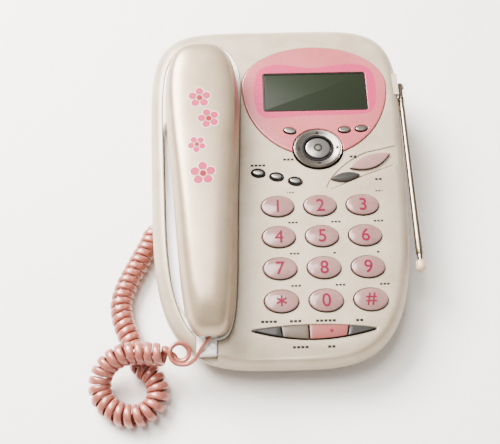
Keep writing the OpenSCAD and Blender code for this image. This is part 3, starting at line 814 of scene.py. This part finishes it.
def low_holes():
    """Openings under the leaf recess and the display panel."""
    through = [(0, -9), (0, 3)]
    leaves = [solid(leaf_outline(n, 0.3), through) for n in LEAVES]
    return together(*leaves, *[solid(small_oval(n, PANEL_KEYS[n], 0.5), through) for n in PANEL_KEYS])


def upper_case():
    inner = [ring(base_outline([d + WALL for d in DECK_INSET]), -WALL),
             ring(base_outline([WALL] * 3), -SHOULDER)]
    case = make("upper_case_shell", DECK, loft(inner + shoulder_rings()), LOOKS["case_pearl"], 24)
    display = middle_in(DECK, "lcd_module") / MM
    screen = rounded_box(display.x - 36, display.x + 36, display.y - 17, display.y + 17, 2)
    pivot = middle_in(DECK, "antenna_bracket") / MM
    notch = rounded_box(pivot.x - 4.4, pivot.x + 8, pivot.y - 9, pivot.y + 9, 2.5)
    channel = rounded_box(CHANNEL[0] - 2, CHANNEL[1] + 2, -130, -96, 1)
    for part in (bore(cradle_area(0.25), 14, 0.7),
                 solid(panel_outline(0.25), [(0, -1.5), (0, -0.3), (0.25, -0.05), (0.25, 1)]),
                 bore(smooth_loop(LEAF_RECESS, 4), 0.65, 0.6),
                 solid(LEAF_LINE, [(0, -1.35), (0, 1)]),
                 key_holes(),
                 low_holes(),
                 bore(nav_cut(), 9, 0.7),
                 solid(screen, [(0, -5), (0, 3)]),
                 solid(notch, [(0, -14), (0, 4)]),
                 solid(channel, [(0, -8.2), (0, 4)])):
        carve(case, DECK, part)
    settle_piece(case, "base", "case_pearl", "upper_case")


def lower_walls():
    """Rings from the floor inside, over the parting line and down the leaning walls."""
    def deck_ring(inset, z):
        return [tuple(DECK @ (Vector((x, y, z)) * MM) / MM) for x, y in base_outline([inset] * 3)]

    def floor_ring(inset, z):
        return ring(base_outline([b + inset for b in BOTTOM_INSET]), z)

    def between(share):
        top, low = deck_ring(0, -SHOULDER - 0.4), floor_ring(0, 2)
        return [tuple(Vector(a).lerp(Vector(b), share)) for a, b in zip(top, low)]

    return [floor_ring(WALL, 4.2), deck_ring(WALL, -SHOULDER - 0.3), deck_ring(0.5, -SHOULDER - 0.3),
            deck_ring(0.1, -SHOULDER - 0.7), between(0.3), between(0.6), between(0.86),
            floor_ring(0.6, 3.4), floor_ring(1.6, 2.4), floor_ring(2.8, 2)]


def bottom_wells():
    """Speaker slots, and wells for the screws and the feet."""
    speaker = middle_in(WORLD, "base_speaker") / MM
    slots = [rounded_box(speaker.x + i * 4 - 0.8, speaker.x + i * 4 + 0.8, speaker.y - 17, speaker.y + 17,
                         0.75, 3) for i in range(-5, 6)]
    wells = [solid(slot, [(0, 0), (0, 9)]) for slot in slots]
    wells += [solid(oval(6.4, 6.4, spot, 0, 24), [(0, 0), (0, 3.2)]) for spot in solids_of("case_screws")]
    wells += [solid(oval(12.6, 12.6, spot, 0, 32), [(0, 0), (0, 2.4)]) for spot in solids_of("rubber_feet")]
    return together(*wells)


def lower_case():
    case = make("lower_case_shell", WORLD, loft(lower_walls()), LOOKS["case_base"], 40)
    carve(case, WORLD, bottom_wells(), angle=40)
    margin, past = 0.25, 14
    for jack in ("line_jack", "dc_jack", "handset_jack"):
        low, high = (corner / MM for corner in box_in(WORLD, jack))
        left, rear = (past, 0) if jack == "handset_jack" else (0, past)
        hole = rounded_box(low.x - margin - left, high.x + margin, low.y - margin, high.y + margin + rear,
                           0.5, 3)
        carve(case, WORLD, solid(hole, [(0, low.z - margin), (0, high.z + margin)]), angle=40)
    settle_piece(case, "base", "case_base", "lower_case")


def solids_of(node_name):
    """Middles of a CAD node's separate round solids, in millimetres."""
    spots = []
    for v in frame["nodes"][node_name].data.vertices:
        x, y = v.co.x / MM, v.co.y / MM
        if not any(math.hypot(x - a, y - b) < 14 for a, b, _ in spots):
            spots.append((x, y, []))
        for s in spots:
            if math.hypot(x - s[0], y - s[1]) < 14:
                s[2].append((x, y))
    return [((min(p[0] for p in s[2]) + max(p[0] for p in s[2])) / 2,
             (min(p[1] for p in s[2]) + max(p[1] for p in s[2])) / 2) for s in spots]


def pocket_profile(outline, floor_z, edge):
    """Solid that cuts a well with a rounded rim."""
    turn = [math.radians(76 * i / 5) for i in range(6)]
    lip = [(edge * (1 - math.cos(a)), 0.4 - edge + edge * math.sin(a)) for a in turn]
    return solid(outline, [(-1.2, floor_z), (-0.3, floor_z + 0.4), (0, floor_z + 1.2)] + lip + [(edge, 3)])


def scoop_outline():
    return smooth_loop([(-20, 46), (-27, 36), (-31, 22), (-32.4, 0), (-31, -36), (-26, -60), (-18, -76),
                        (-6, -80), (-2, 0)], 5)


def round_well(y, radius, floor_z, flare):
    """Well under one of the handset's cups."""
    return solid(disc(radius, y, 72),
                 [(-1.2, floor_z - 1.2), (-0.3, floor_z - 0.9), (0, floor_z), (0, POCKET_FLOOR - 0.8),
                  (flare * 0.3, POCKET_FLOOR - 0.2), (flare, POCKET_FLOOR + 0.1), (flare, -3)])


def cradle_tray():
    """Glossy plate round the handset, with a pocket, a finger scoop, two wells and a channel."""
    plate = solid(cradle_area(0), [(0, -1.8)] + fillet(0, 0.0, 0.5, 0.4, 4))
    tray = make("cradle_tray_shell", DECK, plate, LOOKS["tray_white"], 35)
    wall = 1.8
    pocket = handset_outline(1.8)
    blocks = [solid(offset(pocket, wall), [(0, POCKET_FLOOR - wall), (0, -0.9)]),
              solid(offset(scoop_outline(), wall), [(0, POCKET_FLOOR - wall), (0, -0.8)]),
              solid(disc(EAR_R + 3, EAR_Y, 72), [(0, EAR_Z - 3), (0, -3)]),
              solid(disc(MOUTH_R + 3, MOUTH_Y, 64), [(0, MOUTH_Z - 3), (0, -3.1)])]
    for part in blocks:
        carve(tray, HANDSET, part, "UNION", 35, True)
    carve(tray, DECK, solid(cradle_area(0), [(0, -30), (0, 9)]), "INTERSECT", 35, True)
    front = base_edge_y(CHANNEL[0], (0.6, 0.6, 0.6))
    tongue = solid(rounded_box(CHANNEL[0] - 1.7, CHANNEL[1] + 1.65, front, -93.7, 0.8, 3),
                   [(0, POCKET_FLOOR - wall + 0.1), (0, -0.6), (-0.5, 0.2)])
    carve(tray, DECK, tongue, "UNION", 35, True)
    channel = rounded_box(CHANNEL[0], CHANNEL[1], -124, -89, 0.5, 3)
    cuts = [(DECK, solid(channel, [(-0.5, POCKET_FLOOR + 0.07), (0, POCKET_FLOOR + 0.6), (0, 9.3)])),
            (HANDSET, pocket_profile(pocket, POCKET_FLOOR, 1.3)),
            (HANDSET, pocket_profile(scoop_outline(), POCKET_FLOOR + 0.1, 2.6)),
            (HANDSET, round_well(EAR_Y, EAR_R + 1.2, EAR_Z, 1.1)),
            (HANDSET, round_well(MOUTH_Y, MOUTH_R + 1.2, MOUTH_Z, 0.5)),
            (HANDSET, solid(oval(9, 6, (0, MOUTH_Y), 0, 32), [(0, -30), (0, 0)]))]
    for matrix, part in cuts:
        carve(tray, matrix, part, angle=35, mixed=True)
    settle_piece(tray, "base", "tray_white", "cradle_tray")


def hook_switch():
    plunger = solid(oval(8.2, 5.2, (0, MOUTH_Y), 0, 32), [(0, -19), (0, -9.6)] + fillet(0, -9.4, 1.2, 0.9))
    flange = solid(oval(13, 9, (0, MOUTH_Y), 0, 32), [(0, -16.8), (0, -15.6)])
    obj = make("hook_plunger", HANDSET, together(plunger, flange), LOOKS["switch_white"])
    settle_piece(obj, "hook_switch", "switch_white", "hook_switch")


# ---------- display ----------

PANEL_PLACE, PANEL_HALF_W, PANEL_REAR, PANEL_FRONT = (23.8, 68), 47.4, 29.4, 52.6
PANEL_TOP = 0.9
PRINT_OUTLINE = [(-15.6, 64), (-14.6, 73), (-11.6, 80), (-5, 83.4), (3, 83.8), (13, 82.2), (23.6, 80.9),
                 (35.4, 82.6), (47.8, 83.6), (57, 82), (62.4, 77.5), (64.2, 68), (63.6, 57), (61.4, 49),
                 (56, 45.4), (40, 44.8), (22, 44.6), (4, 43.8), (-7, 43.4), (-12.6, 46.4), (-15, 54)]


def panel_outline(grow=0.0):
    """Shield shape: a flat oval at the rear half, a deep one at the front half."""
    points = []
    for i in range(120):
        a = 2 * math.pi * i / 120
        reach = (PANEL_REAR if math.sin(a) >= 0 else PANEL_FRONT) + grow
        points.append((PANEL_PLACE[0] + (PANEL_HALF_W + grow) * math.cos(a),
                       PANEL_PLACE[1] + math.sin(a) * reach))
    return points


def window_box(grow=0.0):
    low, high = box_in(DECK, "display_window")
    low, high = low / MM, high / MM
    return rounded_box(low.x - grow, high.x + grow, low.y - grow, high.y + grow, 1.6 + grow)


def display_panel():
    plate = solid(panel_outline(), [(0, -1.5)] + fillet(0, 0, 1.1, PANEL_TOP, 6))
    panel = make("display_panel_plate", DECK, plate, LOOKS["panel_pink"], 28)
    keys = [bore(small_oval(n, PANEL_KEYS[n], 0.4), 5, 0.55, PANEL_TOP) for n in PANEL_KEYS]
    carve(panel, DECK, together(bore(window_box(0.1), 5, 0.35, PANEL_TOP), *keys), angle=28)
    carve(panel, DECK, bore(nav_cut(), 5, 0.6, PANEL_TOP), angle=28)
    settle_piece(panel, "base", "panel_pink", "display_panel")


def panel_print():
    """Deeper pink print round the display window."""
    layer = solid(smooth_loop(PRINT_OUTLINE, 5), [(0, PANEL_TOP - 0.2), (0, PANEL_TOP + 0.03)])
    ink = make("panel_print", DECK, layer, LOOKS["panel_print"], 28)
    carve(ink, DECK, solid(window_box(0.5), [(0, -1), (0, 3)]), angle=28)
    settle_piece(ink, "base", "panel_pink")


def display_window():
    bottom = box_in(DECK, "display_window")[0].z / MM
    pane = solid(window_box(-1.1), [(0, bottom), (0, 0.3), (-0.3, 0.42)])
    settle_piece(make("display_pane", DECK, pane, LOOKS["window_clear"]), "base", "window_clear",
                 "display_window")
    rim = loft([ring(window_box(grow), z) for grow, z in
                ((0, bottom), (0, 0.4), (-0.4, 0.62), (-0.9, 0.6), (-1.15, 0.3), (-1.15, bottom))],
               around=True)
    settle_piece(make("display_rim", DECK, rim, LOOKS["window_rim"]), "base", "window_clear")


# ---------- keys ----------

def figure_mesh(words):
    """Flat outline of a figure: its vertices, one unit high and centred, and its faces."""
    data = bpy.data.curves.new("figure", "FONT")
    data.body, data.extrude, data.resolution_u = words, 0.05, 6
    text = bpy.data.objects.new("figure", data)
    bpy.context.scene.collection.objects.link(text)
    mesh = bpy.data.meshes.new_from_object(text.evaluated_get(bpy.context.evaluated_depsgraph_get()))
    bpy.data.objects.remove(text)
    xs, ys = [v.co.x for v in mesh.vertices], [v.co.y for v in mesh.vertices]
    cx, cy, tall = (min(xs) + max(xs)) / 2, (min(ys) + max(ys)) / 2, max(ys) - min(ys)
    verts = [((v.co.x - cx) / tall, (v.co.y - cy) / tall, v.co.z > 0) for v in mesh.vertices]
    faces = [tuple(f.vertices) for f in mesh.polygons]
    bpy.data.meshes.remove(mesh)
    return verts, faces


def printed_figure(name, words, size, matrix, z):
    """Figure on a key. Copies a little apart give its strokes their weight."""
    verts, faces = figure_mesh(words)
    shifts = ((-0.13, -0.08), (0.13, -0.08), (0, 0.12))
    copies = [([(x * size + dx, y * size + dy, z + 0.004 * i if top else z - 0.5)
                for x, y, top in verts], faces) for i, (dx, dy) in enumerate(shifts)]
    obj = make(name, matrix, together(*copies), LOOKS["digit_magenta"], 20, merge=0.0005)
    obj.data.polygons.foreach_set("use_smooth", [False] * len(obj.data.polygons))
    return obj


def star_figure(name, matrix, z):
    """Six-armed star: three bars that cross."""
    bars = [moved(rounded_box(-3.3, 3.3, -0.55, 0.55, 0.3, 3), (0, 0), turn) for turn in (30, 90, 150)]
    part = together(*[solid(b, [(0, z - 0.5), (0, z - 0.004 * i)]) for i, b in enumerate(bars)])
    return make(name, matrix, part, LOOKS["digit_magenta"])


def darken_sides(obj, matrix, look, low=0.45):
    """Paints shade on the faces that stand upright in one frame: they get a second, dark finish, painted shadow in
    the gap round a key; low is how upright.
    """
    up = (matrix.to_3x3() @ Vector((0, 0, 1))).normalized()
    obj.data.materials.append(LOOKS[look])
    for face in obj.data.polygons:
        if abs(face.normal.dot(up)) < low:
            face.material_index = 1


def dial_keys():
    for name, figure in DIGITS.items():
        size, place = key_size(name), key_place(name)
        cap = solid(oval(*size, place, 0, 56), dome(1.45, 0.35))
        flange = solid(oval(size[0] + 1.4, size[1] + 1.4, place, 0, 40), [(0, -3.6), (0, -2.8)])
        stem = solid(oval(6, 5, place, 0, 24), [(0, -4), (0, -2.7)])
        key = make(name + "_cap", DECK, together(cap, flange, stem), LOOKS["key_pearl"], 40)
        # painted shade: the cap's upright sides get a dark finish for the shadow in the gap round the key
        darken_sides(key, DECK, "key_gap_shade", 0.7)
        settle_piece(key, name, "key_pearl", name)
        mark = DECK @ Matrix.Translation(Vector((place[0], place[1], 0)) * MM)
        if figure == "*":
            text = star_figure(name + "_figure", mark, 1.88)
        else:
            text = printed_figure(name + "_figure", figure, 7.2 if figure == "#" else 7.8, mark, 1.86)
        settle_piece(text, name, "key_pink")


def panel_keys():
    for name, turn in PANEL_KEYS.items():
        profile = [(0, -2.8), (0, 1.0)] + fillet(0, 1.1, 0.9, 0.7) + [(-0.9, 1.86, 0.5)]
        cap = solid(small_oval(name, turn), profile)
        flange = solid(small_oval(name, turn, 0.7), [(0, -3.6), (0, -2.8)])
        key = make(name + "_cap", DECK, together(cap, flange), LOOKS["silver_plastic"])
        # painted shade: the cap's upright sides get the near-black rim finish for the shadow in the gap round the
        # key
        darken_sides(key, DECK, "window_rim", 0.6)
        settle_piece(key, name, "silver_plastic", name)


def touch_keys():
    """Three small keys, each in a dark rim."""
    profile = [(0, -2.8), (0, 0.6)] + fillet(0, 0.8, 0.8, 0.6) + [(-0.8, 1.5, 0.5)]
    edge = ((0.85, -1.5), (0.85, 0.25), (0.7, 0.7), (0.3, 0.95), (-0.05, 0.75), (-0.15, 0.2),
            (-0.15, -1.5))
    for name in TOUCH_KEYS:
        cap = solid(small_oval(name, TOUCH_TURN, -0.5), profile)
        flange = solid(small_oval(name, TOUCH_TURN, 0.7), [(0, -3.6), (0, -2.8)])
        key = make(name + "_cap", DECK, together(cap, flange), LOOKS["select_pearl"])
        settle_piece(key, name, "silver_plastic", name)
        rim = loft([ring(small_oval(name, TOUCH_TURN, grow), z) for grow, z in edge], around=True)
        settle_piece(make(name + "_rim", DECK, rim, LOOKS["window_rim"]), "base", "key_grey")


def leaf_keys():
    profile = [(0, -2.8), (0, 0.3)] + fillet(0, 0.5, 0.7, 0.7, 4) + [(-0.7, 1.32, 0.8), (-0.7, 1.4, 0.4)]
    for name, slot in (("play_key", "key_pink"), ("stop_key", "key_grey")):
        key = make(name + "_cap", DECK, solid(leaf_outline(name), profile), LOOKS[slot], 38)
        # painted shade: the key's upright sides get a dark finish for the shadow in the gap round it
        darken_sides(key, DECK, "key_gap_shade", 0.75)
        settle_piece(key, name, slot, name)


def strip_outline(i):
    """Outline of one key in the lens-shaped strip: some of its ends lean."""
    cuts, slant = (-35.3, -19, -3.2, 19.4, 35.3), (0, 8, 0, -12, 0)
    low = cuts[i] + (0.3 if i else 0.6)
    high = cuts[i + 1] - (0.3 if i < 3 else 0.6)
    steps = 8

    def along(bulge, way):
        points = []
        for j in range(steps + 1):
            k = j / steps
            x = low + (high - low) * k
            y = way * (bulge * (1 - (x / STRIP_HALF) ** 2) + 0.15)
            lean = [-y * math.tan(math.radians(slant[end])) for end in (i, i + 1)]
            points.append((x + lean[0] * (1 - k) + lean[1] * k, y))
        return points

    return moved(along(STRIP_DOWN, -1) + along(STRIP_UP, 1)[::-1], STRIP_PLACE)


def strip_keys():
    keys = (("redial_key", "key_grey"), ("catch_key", "key_beige"), ("speakerphone_key", "key_salmon"),
            ("hold_key", "key_grey"))
    profile = [(0, -2.8), (0, 0.5)] + fillet(0, 0.6, 0.4, 0.5, 3) + [(-0.42, 1.2, 0.9)]
    for i, (name, slot) in enumerate(keys):
        key = make(name + "_cap", DECK, solid(strip_outline(i), profile), LOOKS[slot], 30)
        # painted shade: the key's upright sides get the near-black rim finish for the shadow in the gaps between
        # the keys
        darken_sides(key, DECK, "window_rim", 0.75)
        settle_piece(key, name, slot, name)


def speakerphone_lamp():
    bead = lathe([(0.95, -0.3), (0.95, 0.1), (0.75, 0.25), (0.4, 0.2), (0.1, 0.12)], 20)
    spot = DECK @ Matrix.Translation(Vector((24.6, -97.4, 1.2)) * MM)
    settle_piece(make("speakerphone_lamp", spot, bead, LOOKS["digit_magenta"]), "speakerphone_key",
                 "key_salmon")


def direction_ring():
    """Dished silver ring with a keel and two ears on its tilting axis."""
    place = x, y = key_place("nav_ring")
    sizes = [(30.3, 26.9, -3), (30.5, 27.1, -0.8), (30.5, 27.1, 1.2), (30.3, 26.9, 1.6), (29.8, 26.4, 1.75),
             (29.3, 25.9, 1.65), (29, 25.6, 1.75), (28.7, 25.3, 2.15), (28.2, 24.9, 2.35), (27.2, 24.1, 2.3),
             (24.5, 21.8, 1.85), (21.4, 19.3, 1.45), (19.6, 17.8, 1.3), (18.8, 17.1, 1.1), (18.4, 16.8, 0.6),
             (18.4, 16.8, -3)]
    keel = [(27, 24.8, -4.2), (27, 24.8, -2.9), (18.4, 16.8, -2.9), (18.4, 16.8, -4.2)]
    ears = [solid(rounded_box(x - 2.2, x + 2.2, y + side * 11.4 - 1, y + side * 11.4 + 1, 0.4, 3),
                  [(0, -7.5), (0, -4)]) for side in (-1, 1)]
    part = together(torus_loft(sizes, place), torus_loft(keel, place, 48), *ears)
    settle_piece(make("direction_ring", DECK, part, LOOKS["silver_plastic"], 30), "nav_ring",
                 "silver_plastic", "nav_ring")


def direction_lip():
    """Black band round the ring's hole: partly dark trim, partly painted shade of the gap round the middle key."""
    sizes = [(20.3, 18.6, 0.9), (20.2, 18.5, 1.6), (19.8, 18.1, 1.72), (17.7, 16.1, 1.68),
             (17.4, 15.9, 1.4), (17.4, 15.9, 0.4), (18.2, 16.6, 0.4)]
    lip = make("direction_lip", DECK, torus_loft(sizes, key_place("nav_ring")), LOOKS["window_rim"])
    settle_piece(lip, "nav_ring", "key_grey")


def direction_arrows():
    x, y = key_place("nav_ring")
    for turn in range(0, 360, 90):
        reach = 11.9 if turn % 180 else 12.4
        c, s = math.cos(math.radians(turn)), math.sin(math.radians(turn))
        tip = moved([(1.5, 0), (-0.9, 1.35), (-0.9, -1.35)], (x + reach * c, y + (reach - 0.8) * s), turn)
        arrow = solid(tip, [(0, 1.2), (0, 2.16)])
        settle_piece(make(f"direction_arrow_{turn}", DECK, arrow, LOOKS["mark_grey"]), "nav_ring",
                     "silver_plastic")


def select_key():
    """Domed middle key with a ring mark."""
    place = key_place("nav_ring")
    cap = solid(oval(15.8, 14.4, place, 0, 56), [(-0.4, -1), (0, -0.8)] + fillet(0, 0.9, 1.2, 0.9, 6)
                + [(-1.2, 1.8 + 0.45 * (1 - k * k), k) for k in (0.9, 0.7, 0.5, 0.3, 0.1)])
    stem = solid(oval(12, 11, place, 0, 40), [(0, -4.6), (0, -0.9)])
    settle_piece(make("select_cap", DECK, together(cap, stem), LOOKS["select_pearl"], 40), "select_key",
                 "select_pearl", "select_key")
    mark = torus_loft([(5.4, 5.4, 1.9), (5.4, 5.4, 2.36), (3.2, 3.2, 2.36), (3.2, 3.2, 1.9)], place, 32)
    settle_piece(make("select_mark", DECK, mark, LOOKS["mark_grey"]), "select_key", "select_pearl")


# Black band at the edge of the ring's well: partly dark trim, partly painted shade of the gap round the direction
# ring.
def direction_surround():
    sizes = [(32.5, 29.1, -2), (32.5, 29.1, 0.3), (32.1, 28.7, 0.35), (31.8, 28.4, -0.2), (31.8, 28.4, -2)]
    rim = make("direction_surround", DECK, torus_loft(sizes, key_place("nav_ring")), LOOKS["window_rim"])
    settle_piece(rim, "base", "key_grey")


# ---------- printed marks ----------

# Rows of bars on the deck: left end, middle, count
LABELS = ((-15.5, -91.2, 4), (1, -91.2, 3), (16, -91.2, 5), (39, -91.4, 2), (2, -106.4, 4),
          (22, -106.4, 2), (-19, 9.6, 4), (1.5, 13.4, 3), (43.5, 14.6, 2), (58, -1.6, 2))
BAR_COUNT = {"key_2": 0, "key_8": 1, "key_9": 1}      # three over the other dial keys


def bars(x, y, count, step, width, half):
    """Row of small bars that stands for a printed label."""
    return [rounded_box(x + k * step, x + k * step + width, y - half, y + half, 0.2, 2)
            for k in range(count)]


def skip_mark(x, y, way):
    """Two arrowheads and a bar: way is 1 for right and -1 for left."""
    head = [(0.85, 0), (-0.75, 0.75), (-0.75, -0.75)]
    heads = [moved(head, (x + way * 1.8 * k, y), 90 - 90 * way) for k in (0, 1)]
    end = x + way * 3.2
    return heads + [rounded_box(end - 0.2, end + 0.2, y - 0.8, y + 0.8, 0.1, 2)]


def deck_marks():
    """Generic marks beside the keys, in place of the printed labels."""
    marks = []
    for name in DIGITS:
        x, y = key_place(name)
        if name in ("key_1", "key_3"):
            marks += skip_mark(x + 9.6, y + 9.4, -1 if name == "key_1" else 1)
        else:
            marks += bars(x + 6, y + 9.4, BAR_COUNT.get(name, 3), 2.1, 1.6, 0.6)
    for x, y, count in LABELS:
        marks += bars(x, y, count, 2.4, 1.9, 0.75)
    part = together(*[solid(m, [(0, -0.15), (0, 0.04)]) for m in marks])
    settle_piece(make("deck_marks", DECK, part, LOOKS["mark_grey"]), "base", "case_pearl")


# ---------- antenna ----------

def antenna_sleeve():
    """Outer tube with two crimped rings at its open end, and a ribbed neck by the pivot."""
    reach = box_in(ANTENNA, "antenna_tube")[1].z / MM
    crimps = [(r, reach - down) for r, down in
              ((2.0, 30), (2.2, 12), (2.2, 8.2), (2.42, 7.9), (2.42, 7.2), (2.2, 6.9), (2.2, 5.6),
               (2.42, 5.3), (2.42, 4.6), (2.2, 4.3), (2.2, 0.5), (2.0, 0), (1.5, 0))]
    tube = lathe([(0.8, 11.5), (1.55, 11.6), (1.7, 12), (1.75, 30)] + crimps, 40)
    neck = lathe([(1.0, 7.4), (1.5, 7.5), (1.5, 8.2), (1.9, 8.4), (1.9, 9.2), (1.4, 9.4), (1.4, 10),
                  (1.9, 10.2), (1.9, 11), (1.4, 11.2), (1.4, 11.9)], 32)
    obj = make("antenna_sleeve", ANTENNA, together(tube, neck), LOOKS["antenna_steel"], 30)
    settle_piece(obj, "antenna_tube", "antenna_steel", "antenna_tube")


def antenna_tang():
    """Flat tang with the pivot's hole and a slot."""
    side = ANTENNA @ Matrix.Rotation(math.radians(90), 4, "Y")
    turns = [math.radians(a) for a in range(-90, 91, 12)]
    outline = [(2.7 * math.cos(a), 2.7 * math.sin(a)) for a in turns] + [(-8.4, 1.5), (-8.4, -1.5)]
    plate = solid(outline, [(-0.25, -1.2), (0, -0.95), (0, 0.95), (-0.25, 1.2)])
    tang = make("antenna_tang", side, plate, LOOKS["antenna_steel"], 30)
    for width, depth, x in ((2.1, 2.1, 0), (3.2, 1.2, -4.6)):
        carve(tang, side, solid(oval(width, depth, (x, 0), 0, 24), [(0, -3), (0, 3)]), angle=30)
    settle_piece(tang, "antenna_tube", "antenna_steel")


def antenna_tip():
    """Cream cap with a rounded end."""
    low, high = box_in(ANTENNA, "antenna_cap")
    z0, z1, r = low.z / MM, high.z / MM, (high.x - low.x) / 2 / MM
    ball = [(r * math.sqrt(1 - (i / 8) ** 2), z0 + 4 + (z1 - z0 - 4) * i / 8) for i in range(8)]
    profile = [(1.4, z0 - 0.2), (2.2, z0 - 0.1), (r - 0.3, z0 + 0.3), (r, z0 + 1.2)] + ball + [(0.3, z1)]
    settle_piece(make("antenna_tip", ANTENNA, lathe(profile, 36), LOOKS["cap_cream"], 40),
                 "antenna_rod", "cap_cream", "antenna_cap")


# ---------- handset ----------

def crown_rings(inset, lower, steps=20):
    """Rings from the seam up to the spine: the plateau is broad at the earpiece and narrow at the chin."""
    rings = []
    spine = HANDSET_HALF_L - 27
    outline = handset_outline(inset)
    height = HANDSET_TOP - HANDSET_SEAM - lower
    for i in range(steps + 1):
        rho = math.sin(math.radians(90 * (1 - i / steps)))
        points = []
        for x, y in outline:
            middle = max(-spine, min(spine, y))
            py = middle + (y - middle) * rho
            share = (py / HANDSET_HALF_L + 1) / 2
            power = 3.1 + 4.2 * min(1, share * 1.25)
            fall = (1 - rho ** power) ** (1 / 1.75)
            arch = 1.6 * (py / HANDSET_HALF_L) ** 2 + 1.1 * rho * rho
            points.append((x * rho, py, HANDSET_SEAM + max(0.0, (height - arch * (1 - rho ** 8)) * fall)))
        rings.append(points)
    return rings


def top_shell():
    """Hollow crown that ends in a small lip at the seam."""
    def at_seam(inset, up):
        return [(x, y, HANDSET_SEAM + up) for x, y in handset_outline(inset)]

    def raised(points, least):
        return [(x, y, max(z, HANDSET_SEAM + least)) for x, y, z in points]

    inner = [raised(r, 0.01) for r in crown_rings(2.0, 2.0)]
    outer = [raised(r, 0.36) for r in crown_rings(0, 0)]
    rings = inner[:0:-1] + [at_seam(2.0, 0), at_seam(0.45, 0), at_seam(0.0, 0.35)] + outer[1:]
    verts, faces = loft(rings)
    caps = 2                        # both ends close in a line, so they need no cap
    shell = make("handset_crown", HANDSET, (verts, faces[:-caps]), LOOKS["handset_pearl"], 50, merge=0.02)
    return settle_piece(shell, "handset", "handset_pearl", "handset_top_shell")


def cup_shell():
    """Lower shell with the earpiece cup, the mouthpiece cup, holes and the socket's recess."""
    def tray(inset, drop):
        levels = ((0.5, HANDSET_SEAM - 0.02), (0, HANDSET_SEAM - 0.45), (0.1, HANDSET_SEAM - 2), (0.9, 6),
                  (2.4, 4.1), (4.4, 3.2), (7, GRIP))
        return [ring(handset_outline(i + inset), z + drop) for i, z in levels]

    def cup(y, radius, z, inset):
        low = z + inset
        return solid(disc(radius - inset, y, 72), [(-2.4, low), (-1.1, low + 0.35), (-0.3, low + 1.1),
                                                   (0, low + 2.4), (0, 6.5 + inset)])

    shell = make("handset_cups", HANDSET, loft(tray(0, 0)), LOOKS["handset_under"], 40)
    cups = ((EAR_Y, EAR_R, EAR_Z), (MOUTH_Y, MOUTH_R, MOUTH_Z))
    for y, radius, z in cups:
        carve(shell, HANDSET, cup(y, radius, z, 0), "UNION", 40)
    hollow = [ring(handset_outline(2.2), HANDSET_SEAM + 1)] + tray(2.2, 2)[3:]
    carve(shell, HANDSET, loft(hollow), angle=40)
    for y, radius, z in cups:
        carve(shell, HANDSET, cup(y, radius, z, 2), angle=40)
    carve(shell, HANDSET, cup_holes(), angle=40)
    settle_piece(shell, "handset", "handset_under", "handset_cup_shell")


def cup_holes():
    """Holes of the earpiece and the mouthpiece, screw holes and the recess of the cord's socket."""
    spots = [(r * math.cos(2 * math.pi * k / n), EAR_Y + r * math.sin(2 * math.pi * k / n))
             for r, n in ((0, 1), (4, 6), (8, 12)) for k in range(n)]
    holes = [solid(oval(2, 2, spot, 0, 16), [(0, EAR_Z - 1), (0, EAR_Z + 3)]) for spot in spots]
    holes += [solid(oval(1.8, 1.8, (x, MOUTH_Y), 0, 16), [(0, MOUTH_Z - 1), (0, MOUTH_Z + 3)])
              for x in (-4, 0, 4)]
    holes += [solid(disc(3, y, 24), [(0, GRIP - 1), (0, GRIP + 1)]) for y in (30, -52)]
    recess = rounded_box(-5.2, 5.2, SOCKET_Y - 8, SOCKET_Y + 10.5, 0.4)
    return together(*holes, solid(recess, [(0, SOCKET_Z - 4.7), (0, SOCKET_Z + 4.7)]))


def petal(radius, width, steps=7):
    """Outline of a rounded petal that points along x from the flower's middle."""
    points = []
    for i in range(steps * 2 + 1):
        a = math.radians(-150 + 300 * i / (steps * 2))
        points.append((radius * 0.66 + radius * 0.36 * math.cos(a), width * math.sin(a)))
    return points


def draped(name, rows, tree, lift, look):
    """Thin skin laid on the crown: rows are rings from a middle point out to the outline."""
    up = (HANDSET.to_3x3() @ Vector((0, 0, 1))).normalized()

    def on_crown(p, z):
        return tree.ray_cast(at(HANDSET, (p[0], p[1], 60)), -up)[0] + up * z * MM

    n = len(rows[0])
    verts = [on_crown(p, lift) for r in rows for p in r] + [on_crown(p, -0.1) for p in rows[-1]]
    faces = [(i * n + k, i * n + (k + 1) % n, (i + 1) * n + (k + 1) % n, (i + 1) * n + k)
             for i in range(len(rows)) for k in range(n)]
    back = HANDSET.inverted()
    part = [tuple(back @ v / MM) for v in verts], faces
    settle_piece(make(name, HANDSET, part, LOOKS[look], 40, merge=0.004), "handset", "handset_pearl")


def blossoms(shell):
    """Four five-petal flowers on the crown: each petal has a pale edge under it."""
    tree = BVHTree.FromObject(shell, bpy.context.evaluated_depsgraph_get())
    flowers = ((-0.9, 49, 6.9, 0), (4.1, 34, 6.5, 14), (-0.4, -3, 7.4, 0), (-3.4, 16.5, 5.4, 30))
    layers = (("edge", 0.3, 0.07, "petal_edge"), ("petals", 0.0, 0.12, "petal_pink"))
    for f, (x, y, radius, turn) in enumerate(flowers):
        for part, grow, lift, look in layers:
            outline = petal(radius + grow, radius * 0.365 + grow)
            rows = [[(px * s + radius * 0.62 * (1 - s), py * s) for px, py in outline]
                    for s in (0.02, 0.35, 0.7, 1)]
            for k in range(5):
                placed = [moved(r, (x, y), turn + 90 + 72 * k) for r in rows]
                draped(f"blossom_{f}_{part}_{k}", placed, tree, lift, look)
        heart = [oval(radius * 0.5 * s, radius * 0.5 * s, (x, y), 0, 20) for s in (0.02, 0.5, 1)]
        draped(f"blossom_{f}_heart", heart, tree, 0.18, "petal_heart")


# ---------- everything ----------

camera()
studio()
floor()
keep_nodes()
curly_cord()
upper_case()
lower_case()
cradle_tray()
hook_switch()
display_panel()
panel_print()
display_window()
dial_keys()
panel_keys()
touch_keys()
leaf_keys()
strip_keys()
speakerphone_lamp()
direction_ring()
direction_lip()
direction_arrows()
select_key()
direction_surround()
deck_marks()
antenna_sleeve()
antenna_tang()
antenna_tip()
crown = top_shell()
cup_shell()
blossoms(crown)
